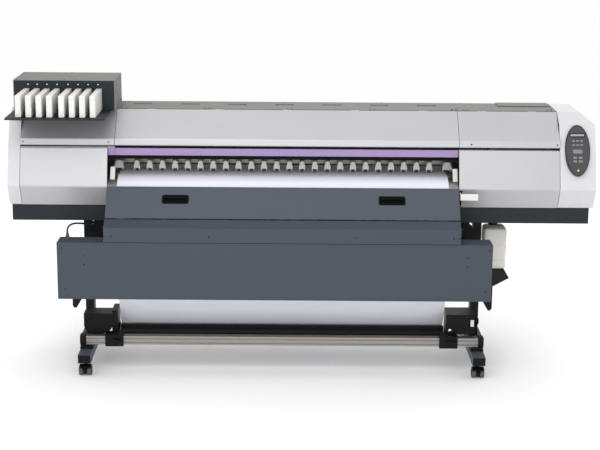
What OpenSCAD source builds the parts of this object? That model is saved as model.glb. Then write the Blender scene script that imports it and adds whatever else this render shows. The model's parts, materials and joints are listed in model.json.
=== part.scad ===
// Wide-format roll printer on a wheeled stand, with an ink rack, a dryer and a take-up.
// X runs to the operator's right, Y to the back and Z up from the floor. Millimetres.

/* [Body] */
// Width over both end caps
body_w = 2800; // [2600:10:3000]
// Height of the top plate above the floor
top_z = 1250; // [1200:5:1300]
// Height of the chassis' underside above the floor
base_z = 725; // [705:5:735]
// Depth of the chassis behind the middle of the object
body_back = 310; // [305:5:320]
// Width of the left end cap
left_cap_w = 57; // [45:1:80]
// Width of the right end cap, which carries the control panel
right_cap_w = 170; // [150:1:200]
// Depth of the flat top behind the middle of the object, before the back slopes down
top_back = 225; // [205:5:235]
// Thickness of the sheet covers
cover_t = 3; // [2:0.5:4]
// Gap between neighbouring covers
cover_gap = 2; // [1.5:0.5:4]

/* [Media path] */
// Centre of the media path, left of the middle of the body
print_x = -90; // [-110:5:-70]
// Width of the print opening
opening_w = 1674; // [1640:2:1700]
// Width of the media
media_w = 1580; // [1300:5:1600]
// Thickness of the media
media_t = 1.2; // [1:0.1:1.5]
// Height of the flat platen above the floor
platen_z = 944; // [940:1:950]
// Radius of the feed guide behind the platen
rear_guide_r = 154; // [145:1:155]
// Radius of the bend in front of the platen
front_r = 115; // [105:1:120]
// Radius of the grit roller
grit_r = 12; // [10:0.5:13]
// Number of pinch-roller arms
pinch_count = 24; // [12:1:26]
// Distance between pinch-roller arms
pinch_pitch = 61.7; // [56:0.1:64]
// Radius of the pinch wheels
pinch_r = 9; // [7:0.5:10]

/* [Stand] */
// Distance between the columns' centres
column_span = 1918; // [1900:2:1960]
// Width of a column
column_w = 42; // [36:1:50]
// Depth of a column
column_d = 60; // [50:1:80]
// Length of a foot
foot_l = 765; // [700:5:800]
// Width of a foot
foot_w = 60; // [50:1:70]
// Height of a foot's own section
foot_h = 41; // [35:1:50]
// Height of a foot's underside above the floor
foot_z = 71; // [68:1:80]
// Radius of a caster's wheels
caster_r = 25; // [22:1:27]
// Width over a caster's two wheels
caster_w = 60; // [50:1:64]

/* [Dryer] */
// Width of the dryer case
dryer_w = 2035; // [1980:5:2060]
// Depth of the dryer case
dryer_d = 110; // [90:5:115]
// Height of the dryer case
dryer_h = 274; // [240:2:290]
// Height of the dryer's underside above the floor
dryer_z = 403; // [390:1:415]

/* [Ink rack] */
// Width of the ink rack
rack_w = 476; // [450:2:490]
// Depth of the ink rack's case
rack_d = 285; // [275:5:300]
// Height of the ink rack above the top plate
rack_h = 146; // [135:1:160]
// Width of a cartridge
cartridge_w = 27; // [22:1:30]
// Height of a cartridge
cartridge_h = 101; // [90:1:105]
// Distance between cartridges
cartridge_pitch = 48; // [42:1:50]

/* [Take-up] */
// Outer radius of the take-up core
core_r = 40; // [36:1:42]
// Wall of the take-up core
core_wall = 4; // [3:0.5:6]
// Height of the take-up rail's section
rail_h = 43; // [36:1:46]
// Depth of the take-up rail's section
rail_d = 40; // [30:1:44]

/* [Hidden] */
$fn = 48;

// Clearances: between bodies that move apart, of a shaft in its bore, and of a piece in a pocket
free_gap = 0.5;
run_gap = 0.05;
pocket_gap = 1;

// Paint and plastic
silver = [0.80, 0.80, 0.82];
charcoal = [0.20, 0.23, 0.26];
panel_grey = [0.37, 0.39, 0.42];
dryer_grey = [0.31, 0.35, 0.38];
warm_grey = [0.55, 0.55, 0.52];
black = [0.07, 0.07, 0.08];
white = [0.92, 0.91, 0.89];
metal = [0.65, 0.64, 0.62];
paper = [0.91, 0.91, 0.94];

// Across the body
left_x = -body_w / 2;
right_x = body_w / 2;
cap_left_x = left_x + left_cap_w;
cap_right_x = right_x - right_cap_w;
open_left = print_x - opening_w / 2;
open_right = print_x + opening_w / 2;
media_left = print_x - media_w / 2;
media_right = print_x + media_w / 2;

// Outline of the front, as [Y, Z]
top_front = [-15, top_z];
lip_top = [-150, top_z - 126];
lip_bottom = [-155, top_z - 157];
lower_top = [-155, top_z - 169];
knee = [-210, top_z - 347];
tuck_bottom = [-155, top_z - 447];
base_front = -150;
base_top = tuck_bottom[1];
base_wall = 4;
cap_wall = 4;
back_drop = 75;
back_brow = [body_back, top_z - back_drop];
// Bevel of the right end cap's top outer edge, across and down
cap_bevel = [67, 50];
cap_brow = [-97, top_z - 53];
cap_chest = [-152, top_z - 165];
lid_hinge = [top_front[0] - 2.5, top_z - 3.5];
lid_pin_r = 2;
seam_left = left_x + 28 + rack_w + 4;

// Feed path: the surface under the media, as [Y, Z], from the rear roll to the take-up
rear_web_y = 344;
rear_arc = [rear_web_y - rear_guide_r, platen_z - rear_guide_r];
platen_front_y = -115;
front_arc = [platen_front_y, platen_z - front_r];
drop_angle = 70;
platen_end_angle = 45;
web_y = -252;
apron_r = 200;
guide_t = 3;
drop_start = front_arc + front_r * [-sin(drop_angle), cos(drop_angle)];
apron_join_y = web_y + apron_r * (1 - sin(drop_angle));
apron_arc = [web_y + apron_r,
             drop_start[1] - (drop_start[0] - apron_join_y) * tan(drop_angle)
               - apron_r * cos(drop_angle)];
apron_end_r = 30;
apron_end = [web_y + apron_end_r, dryer_z + 17];
roll_r = 73;
roll_y = rear_web_y - roll_r - free_gap;
roll_z = 420;

// Take-up, across and as [Y, Z]
rail_x0 = print_x - 947;
rail_x1 = print_x + 950;
rail_y = -262;
rail_z = 134;
core = [-150, rail_z + 31];
wrap_r = core_r + free_gap + media_t;
wrap_reach = norm(core - apron_end);
wrap_line = atan2(core[1] - apron_end[1], core[0] - apron_end[0])
              + asin((apron_end_r + wrap_r) / wrap_reach);
leave_angle = wrap_line + 270;
meet_angle = wrap_line + 90;

// Print zone
grit = [-15, platen_z - run_gap - grit_r];
pinch = [-15, platen_z + media_t + free_gap + pinch_r];
pinch_axle_r = 3;
arm_pivot = [45, platen_z + 56];
arm_pivot_r = 8;
nose_y = -45;
beam_y0 = -40;
beam_y1 = 60;
beam_z0 = platen_z + 106;
beam_z1 = platen_z + 196;
carriage_w = 300;
carriage_x = cap_right_x - 185;
lever_pivot = [-60, knee[1] - 25];
lever_x = open_right + 4.5;
lever_t = 6;
lever_slot = 18;

// Front panel, hood and dryer, as [Y, Z]
panel_top = [-224, knee[1] + 6];
panel_bottom = [-330, knee[1] - 124];
panel_hinge = panel_bottom + [5, -3];
panel_pin_r = 3.5;
hood_top = panel_bottom + [-9, -4];
hood_brow = [-398, knee[1] - 155];
dryer_front = -400;
dryer_top = dryer_z + dryer_h;
dryer_x0 = print_x - 1053;
dryer_x1 = dryer_x0 + dryer_w;
dryer_wall = 2;
handle_w = 120;
handle_h = 40;
handle_depth = 14;
handle_xs = [print_x - 507.5, print_x + 516.5];

// Stand
column_y = 20;
column_wall = 3;
foot_top = foot_z + foot_h;
foot_in = 14;
column_xs = [print_x - column_span / 2, print_x + column_span / 2];
foot_xs = [column_xs[0] + foot_in, column_xs[1] - foot_in];
caster_trail = 15;
caster_inset = 57.5;
caster_front_y = column_y - foot_l / 2 + caster_inset;
caster_rear_y = column_y + foot_l / 2 - caster_inset;
caster_pad = 4;
caster_gap = 20;
caster_axle_r = 4;
caster_pin_r = 6;
caster_stem_r = 10;

// Ink rack
rack_x = left_x + 28;
rack_front = -100;
rack_wall = 3;
tray_front = -365;
tray_t = 4;
rack_z = top_z;
cartridge_x = rack_x + 47;
cartridge_mid_gap = 8;
cartridge_front = -345;
cartridge_l = 430;
cartridge_z = rack_z + tray_t + 2;

// Control panel
oval_c = [right_x - 88.5, -150, top_z - 169];
oval_a = 58.5;
oval_b = 124.5;
oval_tilt = 66.3;
oval_proud = 12;
oval_sunk = 6;
// Keys as [across, up the panel, width, height]
keys = [
  for (row = [46, 26], col = [-1, 0, 1]) [col * 19, row, 13, 9],
  [0, -6, 46, 20],
  for (row = [-36, -54], col = [-0.5, 0.5]) [col * 26, row, 19, 11]
];
key_rise = 2;
key_travel = 1.5;
key_seat = key_travel + free_gap;

// Dryer cable: its route from the gland to the chassis
cable_r = 4.5;
cable_sides = 10;
gland_x = dryer_x0 + 41;
gland_y = -330;
gland_top = dryer_top + 30;
cable_route = [
  [-1102, -330, 707], [-1102, -330, 720], [-1099, -326, 731], [-1092, -316, 739],
  [-1082, -300, 742], [-1072, -278, 740], [-1062, -252, 734], [-1052, -224, 727],
  [-1042, -194, 719], [-1032, -164, 712], [-1022, -134, 706], [-1012, -108, 704],
  [-1004, -90, 707], [-1001, -82, 712], [-1000, -79, 718], [-1000, -79, 725]
];

// ---- Shared shapes ----

function unit(v) = v / norm(v);
function left_of(d) = [-d[1], d[0]];
function reversed(pts) = [for (i = [len(pts) - 1:-1:0]) pts[i]];
function arc(c, r, a0, a1, n) =
  [for (i = [0:n]) c + r * [cos(a0 + (a1 - a0) * i / n), sin(a0 + (a1 - a0) * i / n)]];

// A line moved sideways by d, to the left of its own direction
function shifted(pts, d) =
  [for (i = [0:len(pts) - 1])
    let (a = i == 0 ? unit(pts[1] - pts[0]) : unit(pts[i] - pts[i - 1]),
         b = i == len(pts) - 1 ? a : unit(pts[i + 1] - pts[i]),
         n = left_of(unit(a + b)))
    pts[i] + n * (d / (n * left_of(a)))];

// The points that round the corner q between p and s
function bend(p, q, s, r, n) =
  let (a = unit(p - q), b = unit(s - q), half = acos(a * b) / 2,
       c = q + unit(a + b) * (r / sin(half)),
       u = q + a * (r / tan(half)) - c, v = q + b * (r / tan(half)) - c,
       a0 = atan2(u[1], u[0]), turn = (atan2(v[1], v[0]) - a0 + 540) % 360 - 180)
  arc(c, r, a0, a0 + turn, n);
function rounded(pts, r, n = 4) =
  concat([pts[0]],
         [for (i = [1:len(pts) - 2]) each bend(pts[i - 1], pts[i], pts[i + 1], r, n)],
         [pts[len(pts) - 1]]);
function rounded_loop(pts, r, n = 4) =
  let (m = len(pts))
  [for (i = [0:m - 1]) each bend(pts[(i + m - 1) % m], pts[i], pts[(i + 1) % m], r, n)];
function rounded_box(w, h, r, n = 4) =
  rounded_loop([[-w / 2, -h / 2], [w / 2, -h / 2], [w / 2, h / 2], [-w / 2, h / 2]], r, n);
function oval(a, b, n) = [for (i = [0:n - 1]) [a * cos(360 * i / n), b * sin(360 * i / n)]];

module sheet(pts, t) {
  polygon(concat(pts, reversed(shifted(pts, t))));
}
// Extrudes an outline drawn as [Y, Z] along X
module along_x(x0, x1) {
  translate([x0, 0, 0]) rotate([90, 0, 90]) linear_extrude(height = x1 - x0) children();
}
// Extrudes an outline drawn as [X, Z] along Y
module along_y(y0, y1) {
  translate([0, y1, 0]) rotate([90, 0, 0]) linear_extrude(height = y1 - y0) children();
}
module rod_x(x0, x1, p, r) {
  translate([x0, p[0], p[1]]) rotate([0, 90, 0]) cylinder(r = r, h = x1 - x0);
}
module block(x0, x1, y0, y1, z0, z1) {
  translate([x0, y0, z0]) cube([x1 - x0, y1 - y0, z1 - z0]);
}
module on_panel() {
  translate(oval_c) rotate([oval_tilt, 0, 0]) children();
}

// ---- Feed path ----

rear_line = concat([[rear_web_y, roll_z]], arc(rear_arc, rear_guide_r, 0, 90, 16));
platen_line = arc(front_arc, front_r, 90, 90 + platen_end_angle, 8);
apron_line = concat(arc(front_arc, front_r, 90 + platen_end_angle, 90 + drop_angle, 5),
                    arc(apron_arc, apron_r, 90 + drop_angle, 180, 5),
                    arc(apron_end, apron_end_r, 180, leave_angle, 5));
wrap = arc(core, wrap_r, meet_angle, -90, 12);
apron_tail = [for (i = [1:len(apron_line) - 1]) apron_line[i]];

module media_web() {
  color(paper) along_x(media_left, media_right)
    sheet(concat(rear_line, platen_line, apron_tail, wrap), -media_t);
}

module media_roll() {
  color(paper) {
    rod_x(media_left, media_right, [roll_y, roll_z], roll_r);
    rod_x(media_left - 14, media_right + 14, [roll_y, roll_z], core_r);
    rod_x(bracket_x(0) - 34, bracket_x(1) + 34, [roll_y, roll_z], spindle_r);
  }
}

module platen() {
  keel_t = 4;
  depth = 34;
  nose_t = 14;
  color(metal) along_x(open_left, open_right) difference() {
    union() {
      polygon(concat([[rear_arc[0], platen_z - depth], [rear_arc[0], platen_z]],
                     platen_line,
                     arc(front_arc, front_r - nose_t, 90 + platen_end_angle, 90, 8),
                     [[platen_front_y + 20, platen_z - depth]]));
      for (y = [30, rear_arc[0] - 20])
        translate([y, base_z + base_wall]) square([keel_t, platen_z - depth - base_z - base_wall]);
    }
    translate(grit) circle(r = grit_r + pocket_gap);
    translate([grit[0] - grit_r - pocket_gap, grit[1]]) square([2 * (grit_r + pocket_gap), grit_r * 2]);
  }
}

module heater_apron() {
  inside = shifted(apron_line, guide_t);
  start = front_arc + (front_r - guide_t) * unit(apron_line[0] - front_arc);
  color(metal) along_x(open_left, open_right)
    polygon(concat(apron_line, [for (i = [len(inside) - 1:-1:1]) inside[i]], [start]));
}

module rear_feed_guide() {
  line = concat([[body_back, base_z + 6], [rear_web_y - 5, base_z + 6], [rear_web_y, base_z + 11]],
                arc(rear_arc, rear_guide_r, 0, 90, 16));
  inside = shifted(line, guide_t);
  last = len(line) - 1;
  color(metal) along_x(open_left + 4, open_right - 4)
    polygon(concat(line, [[rear_arc[0], platen_z - guide_t]], [for (i = [last - 1:-1:0]) inside[i]]));
}

module grit_roller() {
  color(metal) {
    rod_x(open_left + 24, open_right - 24, grit, grit_r);
    rod_x(open_left, open_right, grit, grit_r - 4);
  }
}

function pinch_x(i) = print_x + (i - (pinch_count - 1) / 2) * pinch_pitch;

module pinch_arm(w) {
  nose = [[-w / 2, platen_z + 19], [w / 2, platen_z + 19], [w / 2, platen_z + 31],
          [w / 5, platen_z + 57], [-w / 5, platen_z + 57], [-w / 2, platen_z + 31]];
  fork = 9;
  reach = [[nose_y + 8, platen_z + 26], [arm_pivot[0] - 4, arm_pivot[1] - 9],
           [arm_pivot[0] + 6, arm_pivot[1] - 4], [arm_pivot[0] + 6, arm_pivot[1] + 8],
           [arm_pivot[0] - 8, arm_pivot[1] + 8], [nose_y + 8, platen_z + 52]];
  ear = [[nose_y + 8, platen_z + 8], [pinch[0] + 6, pinch[1] - 5], [pinch[0] + 8, pinch[1] + 5],
         [pinch[0] + 8, platen_z + 36], [nose_y + 8, platen_z + 32]];
  difference() {
    union() {
      along_y(nose_y, nose_y + 9) polygon(nose);
      along_x(-w / 2 + 3, w / 2 - 3) polygon(reach);
      for (x0 = [-w / 2 + 1, w / 2 - 5]) along_x(x0, x0 + 4) polygon(ear);
    }
    block(-fork, fork, nose_y + 9, pinch[0] + pinch_r + 3, platen_z, pinch[1] + pinch_r + 2);
    rod_x(-w, w, pinch, pinch_axle_r + run_gap);
  }
}

module pinch_arms() {
  arm_w = 30;
  end_arm_w = 46;
  last_x = (pinch_count - 1) / 2 * pinch_pitch;
  end_arm_x = max(media_w / 2 + 7, last_x + (arm_w + end_arm_w) / 2 + pocket_gap);
  color(white) {
    for (i = [0:pinch_count - 1]) translate([pinch_x(i), 0, 0]) pinch_arm(arm_w);
    for (s = [-1, 1]) translate([print_x + s * end_arm_x, 0, 0]) pinch_arm(end_arm_w);
    rod_x(open_left + 30, open_right - 30, arm_pivot, arm_pivot_r - 2);
  }
}

module pinch_wheels() {
  color(black) for (i = [0:pinch_count - 1]) translate([pinch_x(i), 0, 0]) {
    rod_x(-8, 8, pinch, pinch_r);
    rod_x(-14, 14, pinch, pinch_axle_r);
  }
}

module guide_beam() {
  rail_x = cap_left_x + 20;
  color(metal) {
    difference() {
      block(cap_left_x, cap_right_x, beam_y0, beam_y1, beam_z0, beam_z1);
      block(cap_left_x - 1, cap_right_x + 1, beam_y0 + 5, beam_y1 - 5, beam_z0 + 5, beam_z1 - 5);
    }
    block(rail_x, cap_right_x - 20, beam_y0 - 8, beam_y0, beam_z0 + 30, beam_z0 + 45);
  }
}

module print_carriage() {
  x0 = carriage_x - carriage_w / 2;
  body = rounded_loop([[-134, platen_z + 30], [-134, platen_z + 150], [-112, platen_z + 168],
                       [beam_y0 - 14, platen_z + 168], [beam_y0 - 14, platen_z + 30]], 5, 3);
  color(charcoal) difference() {
    union() {
      along_x(x0, x0 + carriage_w) polygon(body);
      block(x0 + 30, x0 + carriage_w - 30, -126, -62, platen_z + 4, platen_z + 31);
      block(x0 + 40, x0 + carriage_w - 40, beam_y0 - 15, beam_y0 - 2, beam_z0 + 20, beam_z0 + 55);
    }
    block(x0 + 39, x0 + carriage_w - 39, beam_y0 - 8 - free_gap, beam_y0,
          beam_z0 + 30 - free_gap, beam_z0 + 45 + free_gap);
  }
}

// ---- Body ----

// An open tray of five flat plates that meet with a hairline gap
module base_chassis() {
  x0 = left_x + 9;
  x1 = right_x - 17;
  wall_z = base_z + base_wall + run_gap;
  inset = base_wall + run_gap;
  color(charcoal) {
    block(x0, x1, base_front, body_back, base_z, base_z + base_wall);
    for (y = [base_front, body_back - base_wall]) block(x0, x1, y, y + base_wall, wall_z, base_top);
    for (x = [x0, x1 - base_wall])
      block(x, x + base_wall, base_front + inset, body_back - inset, wall_z, base_top);
  }
}

cap_outline = rounded_loop([back_brow, [top_back, top_z], top_front, cap_brow, cap_chest, knee,
                            tuck_bottom, [body_back, base_top]], 10, 5);

module end_cap(outer, inner) {
  low = min(outer, inner);
  high = max(outer, inner);
  skin = outer < inner ? [low + cap_wall, high + 1] : [low - 1, high - cap_wall];
  loop = reversed(shifted_loop(cap_outline, cap_wall));
  difference() {
    along_x(low, high) polygon(cap_outline);
    difference() {
      along_x(skin[0], skin[1]) polygon(loop);
      if (outer > inner) bevel_cut(cap_wall);
    }
    if (outer > inner) bevel_cut(0);
  }
  for (y = [beam_y0 + 4, beam_y1 - 8])
    block(low + (outer < inner ? 1 : 0), high - (outer < inner ? 0 : 1), y, y + cap_wall,
          base_top + 1, beam_z1);
}
function shifted_loop(pts, d) =
  let (m = len(pts))
  [for (i = [0:m - 1])
    let (a = unit(pts[i] - pts[(i + m - 1) % m]), b = unit(pts[(i + 1) % m] - pts[i]),
         n = left_of(unit(a + b)))
    pts[i] + n * (d / (n * left_of(a)))];

// What the right cap's bevel takes off, grown inwards by a wall
module bevel_cut(wall) {
  slope = cap_bevel[1] / cap_bevel[0];
  down = wall * norm(cap_bevel) / cap_bevel[0];
  reach = 20;
  along_y(base_front - reach, body_back + reach)
    polygon([[right_x - cap_bevel[0] - down / slope - reach / slope, top_z + reach],
             [right_x + reach, top_z + reach],
             [right_x + reach, top_z - cap_bevel[1] - down - reach * slope]]);
}

module end_cap_left() {
  color(silver) end_cap(left_x, cap_left_x);
}

module end_cap_right() {
  color(silver) difference() {
    end_cap(right_x, cap_right_x);
    on_panel() translate([0, 0, -oval_sunk - 0.5]) linear_extrude(height = 60)
      polygon(oval(oval_a + 0.5, oval_b + 0.5, 64));
  }
}

lower_line = concat([[lower_top[0] + 14, lower_top[1] + 1]],
                    [for (p = bend([lower_top[0] + 14, lower_top[1] + 1], lower_top, knee, 5, 3)) p],
                    bend(lower_top, knee, tuck_bottom, 16, 6), [tuck_bottom]);
slope_start = [top_front[0] - 3.5, top_z - 3];
upper_line = concat([slope_start], bend(slope_start, lip_top, lip_bottom, 12, 5),
                    bend(lip_top, lip_bottom, [lip_bottom[0] + 12, lip_bottom[1] - 1], 5, 3),
                    [[lip_bottom[0] + 12, lip_bottom[1] - 1]]);

module left_side_cover() {
  x0 = cap_left_x + cover_gap;
  color(silver) {
    along_x(x0, seam_left - cover_gap) sheet(upper_line, cover_t);
    along_x(x0, open_left) sheet(lower_line, cover_t);
    along_x(x0, open_left) sheet([[lip_bottom[0] + 9, lip_bottom[1] - 1],
                                  [lip_bottom[0] + 9, lower_top[1] - 2]], cover_t);
  }
}

module right_lower_cover() {
  color(silver) difference() {
    along_x(open_right + cover_gap, cap_right_x - cover_gap) sheet(lower_line, cover_t);
    block(open_right, open_right + lever_slot, knee[0] - 60, -100, base_top - 1, knee[1] - 8);
  }
}

// Hinge pins spread evenly between two ends
module pins(x0, x1, count, p, r) {
  pin_l = 40;
  for (i = [0:count - 1]) let (x = x0 + (x1 - x0) * (i + 0.5) / count)
    rod_x(x - pin_l / 2, x + pin_l / 2, p, r);
}

module front_cover() {
  color(silver) {
    along_x(seam_left, open_right + 1) sheet(upper_line, cover_t);
    pins(seam_left, open_right, 5, lid_hinge, lid_pin_r);
  }
}

module front_window() {
  line = [[lip_bottom[0] + 8, lip_bottom[1] - 4.2], [lip_bottom[0] + 13, lip_bottom[1] - 63]];
  color([0.70, 0.60, 0.82, 0.6]) along_x(max(seam_left, open_left) + 1, open_right) sheet(line, 4);
}

module right_cover() {
  x0 = open_right + 1 + cover_gap;
  x1 = cap_right_x - cover_gap;
  color(silver) {
    along_x(x0, x1) sheet(upper_line, cover_t);
    pins(x0, x1, 2, lid_hinge, lid_pin_r);
  }
}

module top_plate() {
  vent_w = 95;
  vent_h = 28;
  vent_pitch = 233;
  color(warm_grey) difference() {
    union() {
      block(cap_left_x, cap_right_x, top_front[0], top_back, top_z - cover_t, top_z);
      block(cap_left_x, cap_right_x, top_front[0], top_front[0] + cover_t, top_z - 18, top_z);
      block(cap_right_x - 265, cap_right_x - 12, top_back - 110, top_back - 10, top_z - 1, top_z + 6);
    }
    for (i = [-3:3]) translate([print_x + 6 + i * vent_pitch, 136, top_z - 1])
      linear_extrude(height = 3) {
        square([vent_w - vent_h, vent_h], center = true);
        for (s = [-1, 1]) translate([s * (vent_w - vent_h) / 2, 0]) circle(d = vent_h);
      }
  }
}

module rear_cover() {
  slot_z = platen_z + 31;
  x0 = cap_left_x + cover_gap;
  x1 = cap_right_x - cover_gap;
  inlet_x = cap_right_x - 120;
  inlet_z = base_top + 60;
  drop = cover_t * norm(back_brow - [top_back, top_z]) / (body_back - top_back);
  color(silver) difference() {
    along_x(x0, x1)
      polygon([[body_back - cover_t, base_top], [body_back, base_top], back_brow, [top_back, top_z],
               [top_back, top_z - drop],
               [body_back - cover_t, back_brow[1] - drop + cover_t * back_drop / (body_back - top_back)]]);
    block(open_left, open_right, body_back - 10, body_back + 1, base_top - 1, slot_z);
  }
  color(black) difference() {
    block(inlet_x - 29, inlet_x + 29, body_back, body_back + 14, inlet_z - 19, inlet_z + 19);
    block(inlet_x - 13, inlet_x + 13, body_back + 4, body_back + 15, inlet_z - 9, inlet_z + 9);
  }
}

// ---- Front panel, hood and dryer ----

panel_dir = unit(panel_bottom - panel_top);
panel_out = -left_of(panel_dir);

module on_front_panel(along, x) {
  p = panel_top + panel_dir * along;
  translate([x, p[0], p[1]]) rotate([atan2(panel_dir[1], panel_dir[0]) + 180, 0, 0]) children();
}

module service_panel() {
  wall = 2;
  handle_at = norm(panel_bottom - panel_top) * 0.4;
  x0 = open_left + cover_gap;
  x1 = open_right - cover_gap;
  color(panel_grey) {
    difference() {
      union() {
        along_x(x0, x1) sheet([panel_top, panel_bottom], cover_t);
        for (x = handle_xs) on_front_panel(handle_at, x)
          translate([-handle_w / 2, -handle_h / 2, -handle_depth])
            cube([handle_w, handle_h, handle_depth - cover_t / 2]);
      }
      for (x = handle_xs) on_front_panel(handle_at, x)
        translate([-handle_w / 2 + wall, -handle_h / 2 + wall, -handle_depth + wall])
          cube([handle_w - 2 * wall, handle_h - 2 * wall, handle_depth + 5]);
    }
    pins(x0, x1, 3, panel_hinge, panel_pin_r);
  }
}

module dryer_hood() {
  x0 = open_left + 2;
  x1 = open_right - 4;
  line = [hood_top, hood_brow, [dryer_front, dryer_top + 2]];
  cheek = [hood_top + [3, -4], hood_brow + [5, -4], [dryer_front + 4, dryer_top + 2],
           [-290, dryer_top + 2], [web_y - 12, dryer_top + 2], [web_y - 12, panel_hinge[1] - 10],
           [panel_hinge[0] + 14, panel_hinge[1] - 10]];
  color(panel_grey) {
    along_x(x0, x1) sheet(line, cover_t);
    for (x = [x0, x1 - cover_t]) along_x(x, x + cover_t) polygon(cheek);
  }
}

module dryer_case() {
  slot_w = 90;
  slot_pitch = 118;
  slots = floor(media_w / slot_pitch);
  back = dryer_front + dryer_d;
  color(dryer_grey) difference() {
    block(dryer_x0, dryer_x1, dryer_front, back, dryer_z, dryer_top);
    block(dryer_x0 + dryer_wall, dryer_x1 - dryer_wall, dryer_front + dryer_wall,
          back - dryer_wall, dryer_z + dryer_wall, dryer_top - dryer_wall);
    for (i = [0:slots - 1], z = [dryer_z + 60, dryer_z + 110, dryer_z + 160])
      translate([print_x + (i - (slots - 1) / 2) * slot_pitch - slot_w / 2, back - 5, z])
        cube([slot_w, 10, 12]);
  }
}

module cable_gland() {
  color(black) translate([gland_x, gland_y, dryer_top]) difference() {
    rotate_extrude($fn = 36) polygon([[0, 0], [13, 0], [13, 8], [10, 10], [7, 30], [0, 30]]);
    translate([0, 0, -1]) cylinder(r = 3, h = 40);
  }
}

module dryer_cable() {
  n = len(cable_route);
  tangents = [for (i = [0:n - 1]) unit(cable_route[min(i + 1, n - 1)] - cable_route[max(i - 1, 0)])];
  side = [0, 1, 0];
  rings = [for (i = [0:n - 1])
    let (u = unit(cross(tangents[i], side)), v = cross(tangents[i], u))
    for (k = [0:cable_sides - 1])
      cable_route[i] + cable_r * (u * cos(360 * k / cable_sides) + v * sin(360 * k / cable_sides))];
  walls = [for (i = [0:n - 2], k = [0:cable_sides - 1])
    let (a = i * cable_sides + k, b = i * cable_sides + (k + 1) % cable_sides)
    [a, a + cable_sides, b + cable_sides, b]];
  ends = [[for (k = [0:cable_sides - 1]) k],
          [for (k = [cable_sides - 1:-1:0]) (n - 1) * cable_sides + k]];
  color(black) polyhedron(points = rings, faces = concat(walls, ends));
}

module screw_y(x, y, z, r) {
  translate([x, y, z]) rotate([90, 0, 0]) cylinder(r = r, h = 2.5);
}

module cover_screws() {
  hood_z = dryer_top + 30;
  color(metal) {
    for (x = [print_x - 832, print_x - 800, print_x - 344, print_x + 344, print_x + 800, print_x + 828])
      screw_y(x, dryer_front, hood_z, 4);
    for (side = [-1, 1], at = [[1032, 248], [928, 212], [928, 168], [1018, 48]])
      let (x = print_x + side * at[0] - (side > 0 ? 62 : 0))
        screw_y(x, dryer_front, dryer_z + at[1], 4);
    for (x = [cap_left_x + 14, seam_left - 30, open_right + 60, cap_right_x - 14])
      on_lip(x) cylinder(r = 4.5, h = 2.5);
  }
}
// A place on the lip below the upper covers' slope, facing out
module on_lip(x) {
  d = unit(lip_bottom - lip_top);
  p = (lip_top + lip_bottom) / 2;
  translate([x, p[0], p[1]]) rotate([90 - atan2(-d[0], -d[1]), 0, 0]) children();
}

// ---- Control panel ----

module control_panel() {
  color(black) on_panel() difference() {
    translate([0, 0, -oval_sunk]) linear_extrude(height = oval_sunk + oval_proud)
      polygon(oval(oval_a, oval_b, 64));
    for (k = keys) translate([k[0], k[1], 0]) linear_extrude(height = 50)
      square([k[2] + 1.2, k[3] + 1.2], center = true);
  }
}

module keypad() {
  color(panel_grey) on_panel() for (k = keys)
    translate([k[0], k[1], key_seat]) linear_extrude(height = oval_proud + key_rise - key_seat)
      polygon(rounded_box(k[2], k[3], 2, 3));
}

// ---- Stand ----

module stand_column(x, outer) {
  half = column_w / 2;
  inner = -outer;
  plate = [[0, 520], [62, 600], [62, base_z], [50, base_z], [0, base_z - 58]];
  color(black) {
    difference() {
      block(x - half, x + half, column_y - column_d / 2, column_y + column_d / 2, foot_top, base_z);
      block(x - half + column_wall, x + half - column_wall, column_y - column_d / 2 + column_wall,
            column_y + column_d / 2 - column_wall, foot_top - 1, base_z + 1);
    }
    along_y(column_y - column_d / 2, column_y - column_d / 2 + 8)
      polygon([for (p = plate) [x + inner * (half - 1 + p[0]), p[1]]]);
    difference() {
      block(x - half - 18, x + half + 18, column_y - 80, column_y + 80, foot_top, foot_top + 8);
      block(x - half, x + half, column_y - column_d / 2, column_y + column_d / 2,
            foot_top - 1, foot_top + 9);
    }
    block(x - 15, x + 15, dryer_front + dryer_d, column_y - column_d / 2, dryer_z + 80, dryer_z + 140);
  }
}
module stand_column_left() {
  stand_column(column_xs[0], -1);
}
module stand_column_right() {
  stand_column(column_xs[1], 1);
}

module stand_crossbar() {
  bar_z = 480;
  bar_h = 60;
  bar_d = 40;
  x0 = column_xs[0] + column_w / 2;
  x1 = column_xs[1] - column_w / 2;
  color(black) difference() {
    block(x0, x1, column_y - bar_d / 2, column_y + bar_d / 2, bar_z, bar_z + bar_h);
    block(x0 - 1, x1 + 1, column_y - bar_d / 2 + 3, column_y + bar_d / 2 - 3, bar_z + 3, bar_z + bar_h - 3);
  }
}

module stand_foot(x) {
  y0 = column_y - foot_l / 2;
  wall = 3;
  color(charcoal) difference() {
    union() {
      difference() {
        block(x - foot_w / 2, x + foot_w / 2, y0, y0 + foot_l, foot_z, foot_top);
        block(x - foot_w / 2 + wall, x + foot_w / 2 - wall, y0 + wall, y0 + foot_l - wall,
              foot_z - 1, foot_top - wall);
      }
      for (y = [caster_front_y, caster_rear_y])
        block(x - foot_w / 2, x + foot_w / 2, y - 30, y + 30, foot_z - caster_pad, foot_z + 6);
    }
    for (y = [caster_front_y, caster_rear_y]) translate([x, y, foot_z - 10])
      cylinder(r = caster_pin_r + run_gap, h = 30);
  }
}
module stand_foot_left() {
  stand_foot(foot_xs[0]);
}
module stand_foot_right() {
  stand_foot(foot_xs[1]);
}

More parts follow.
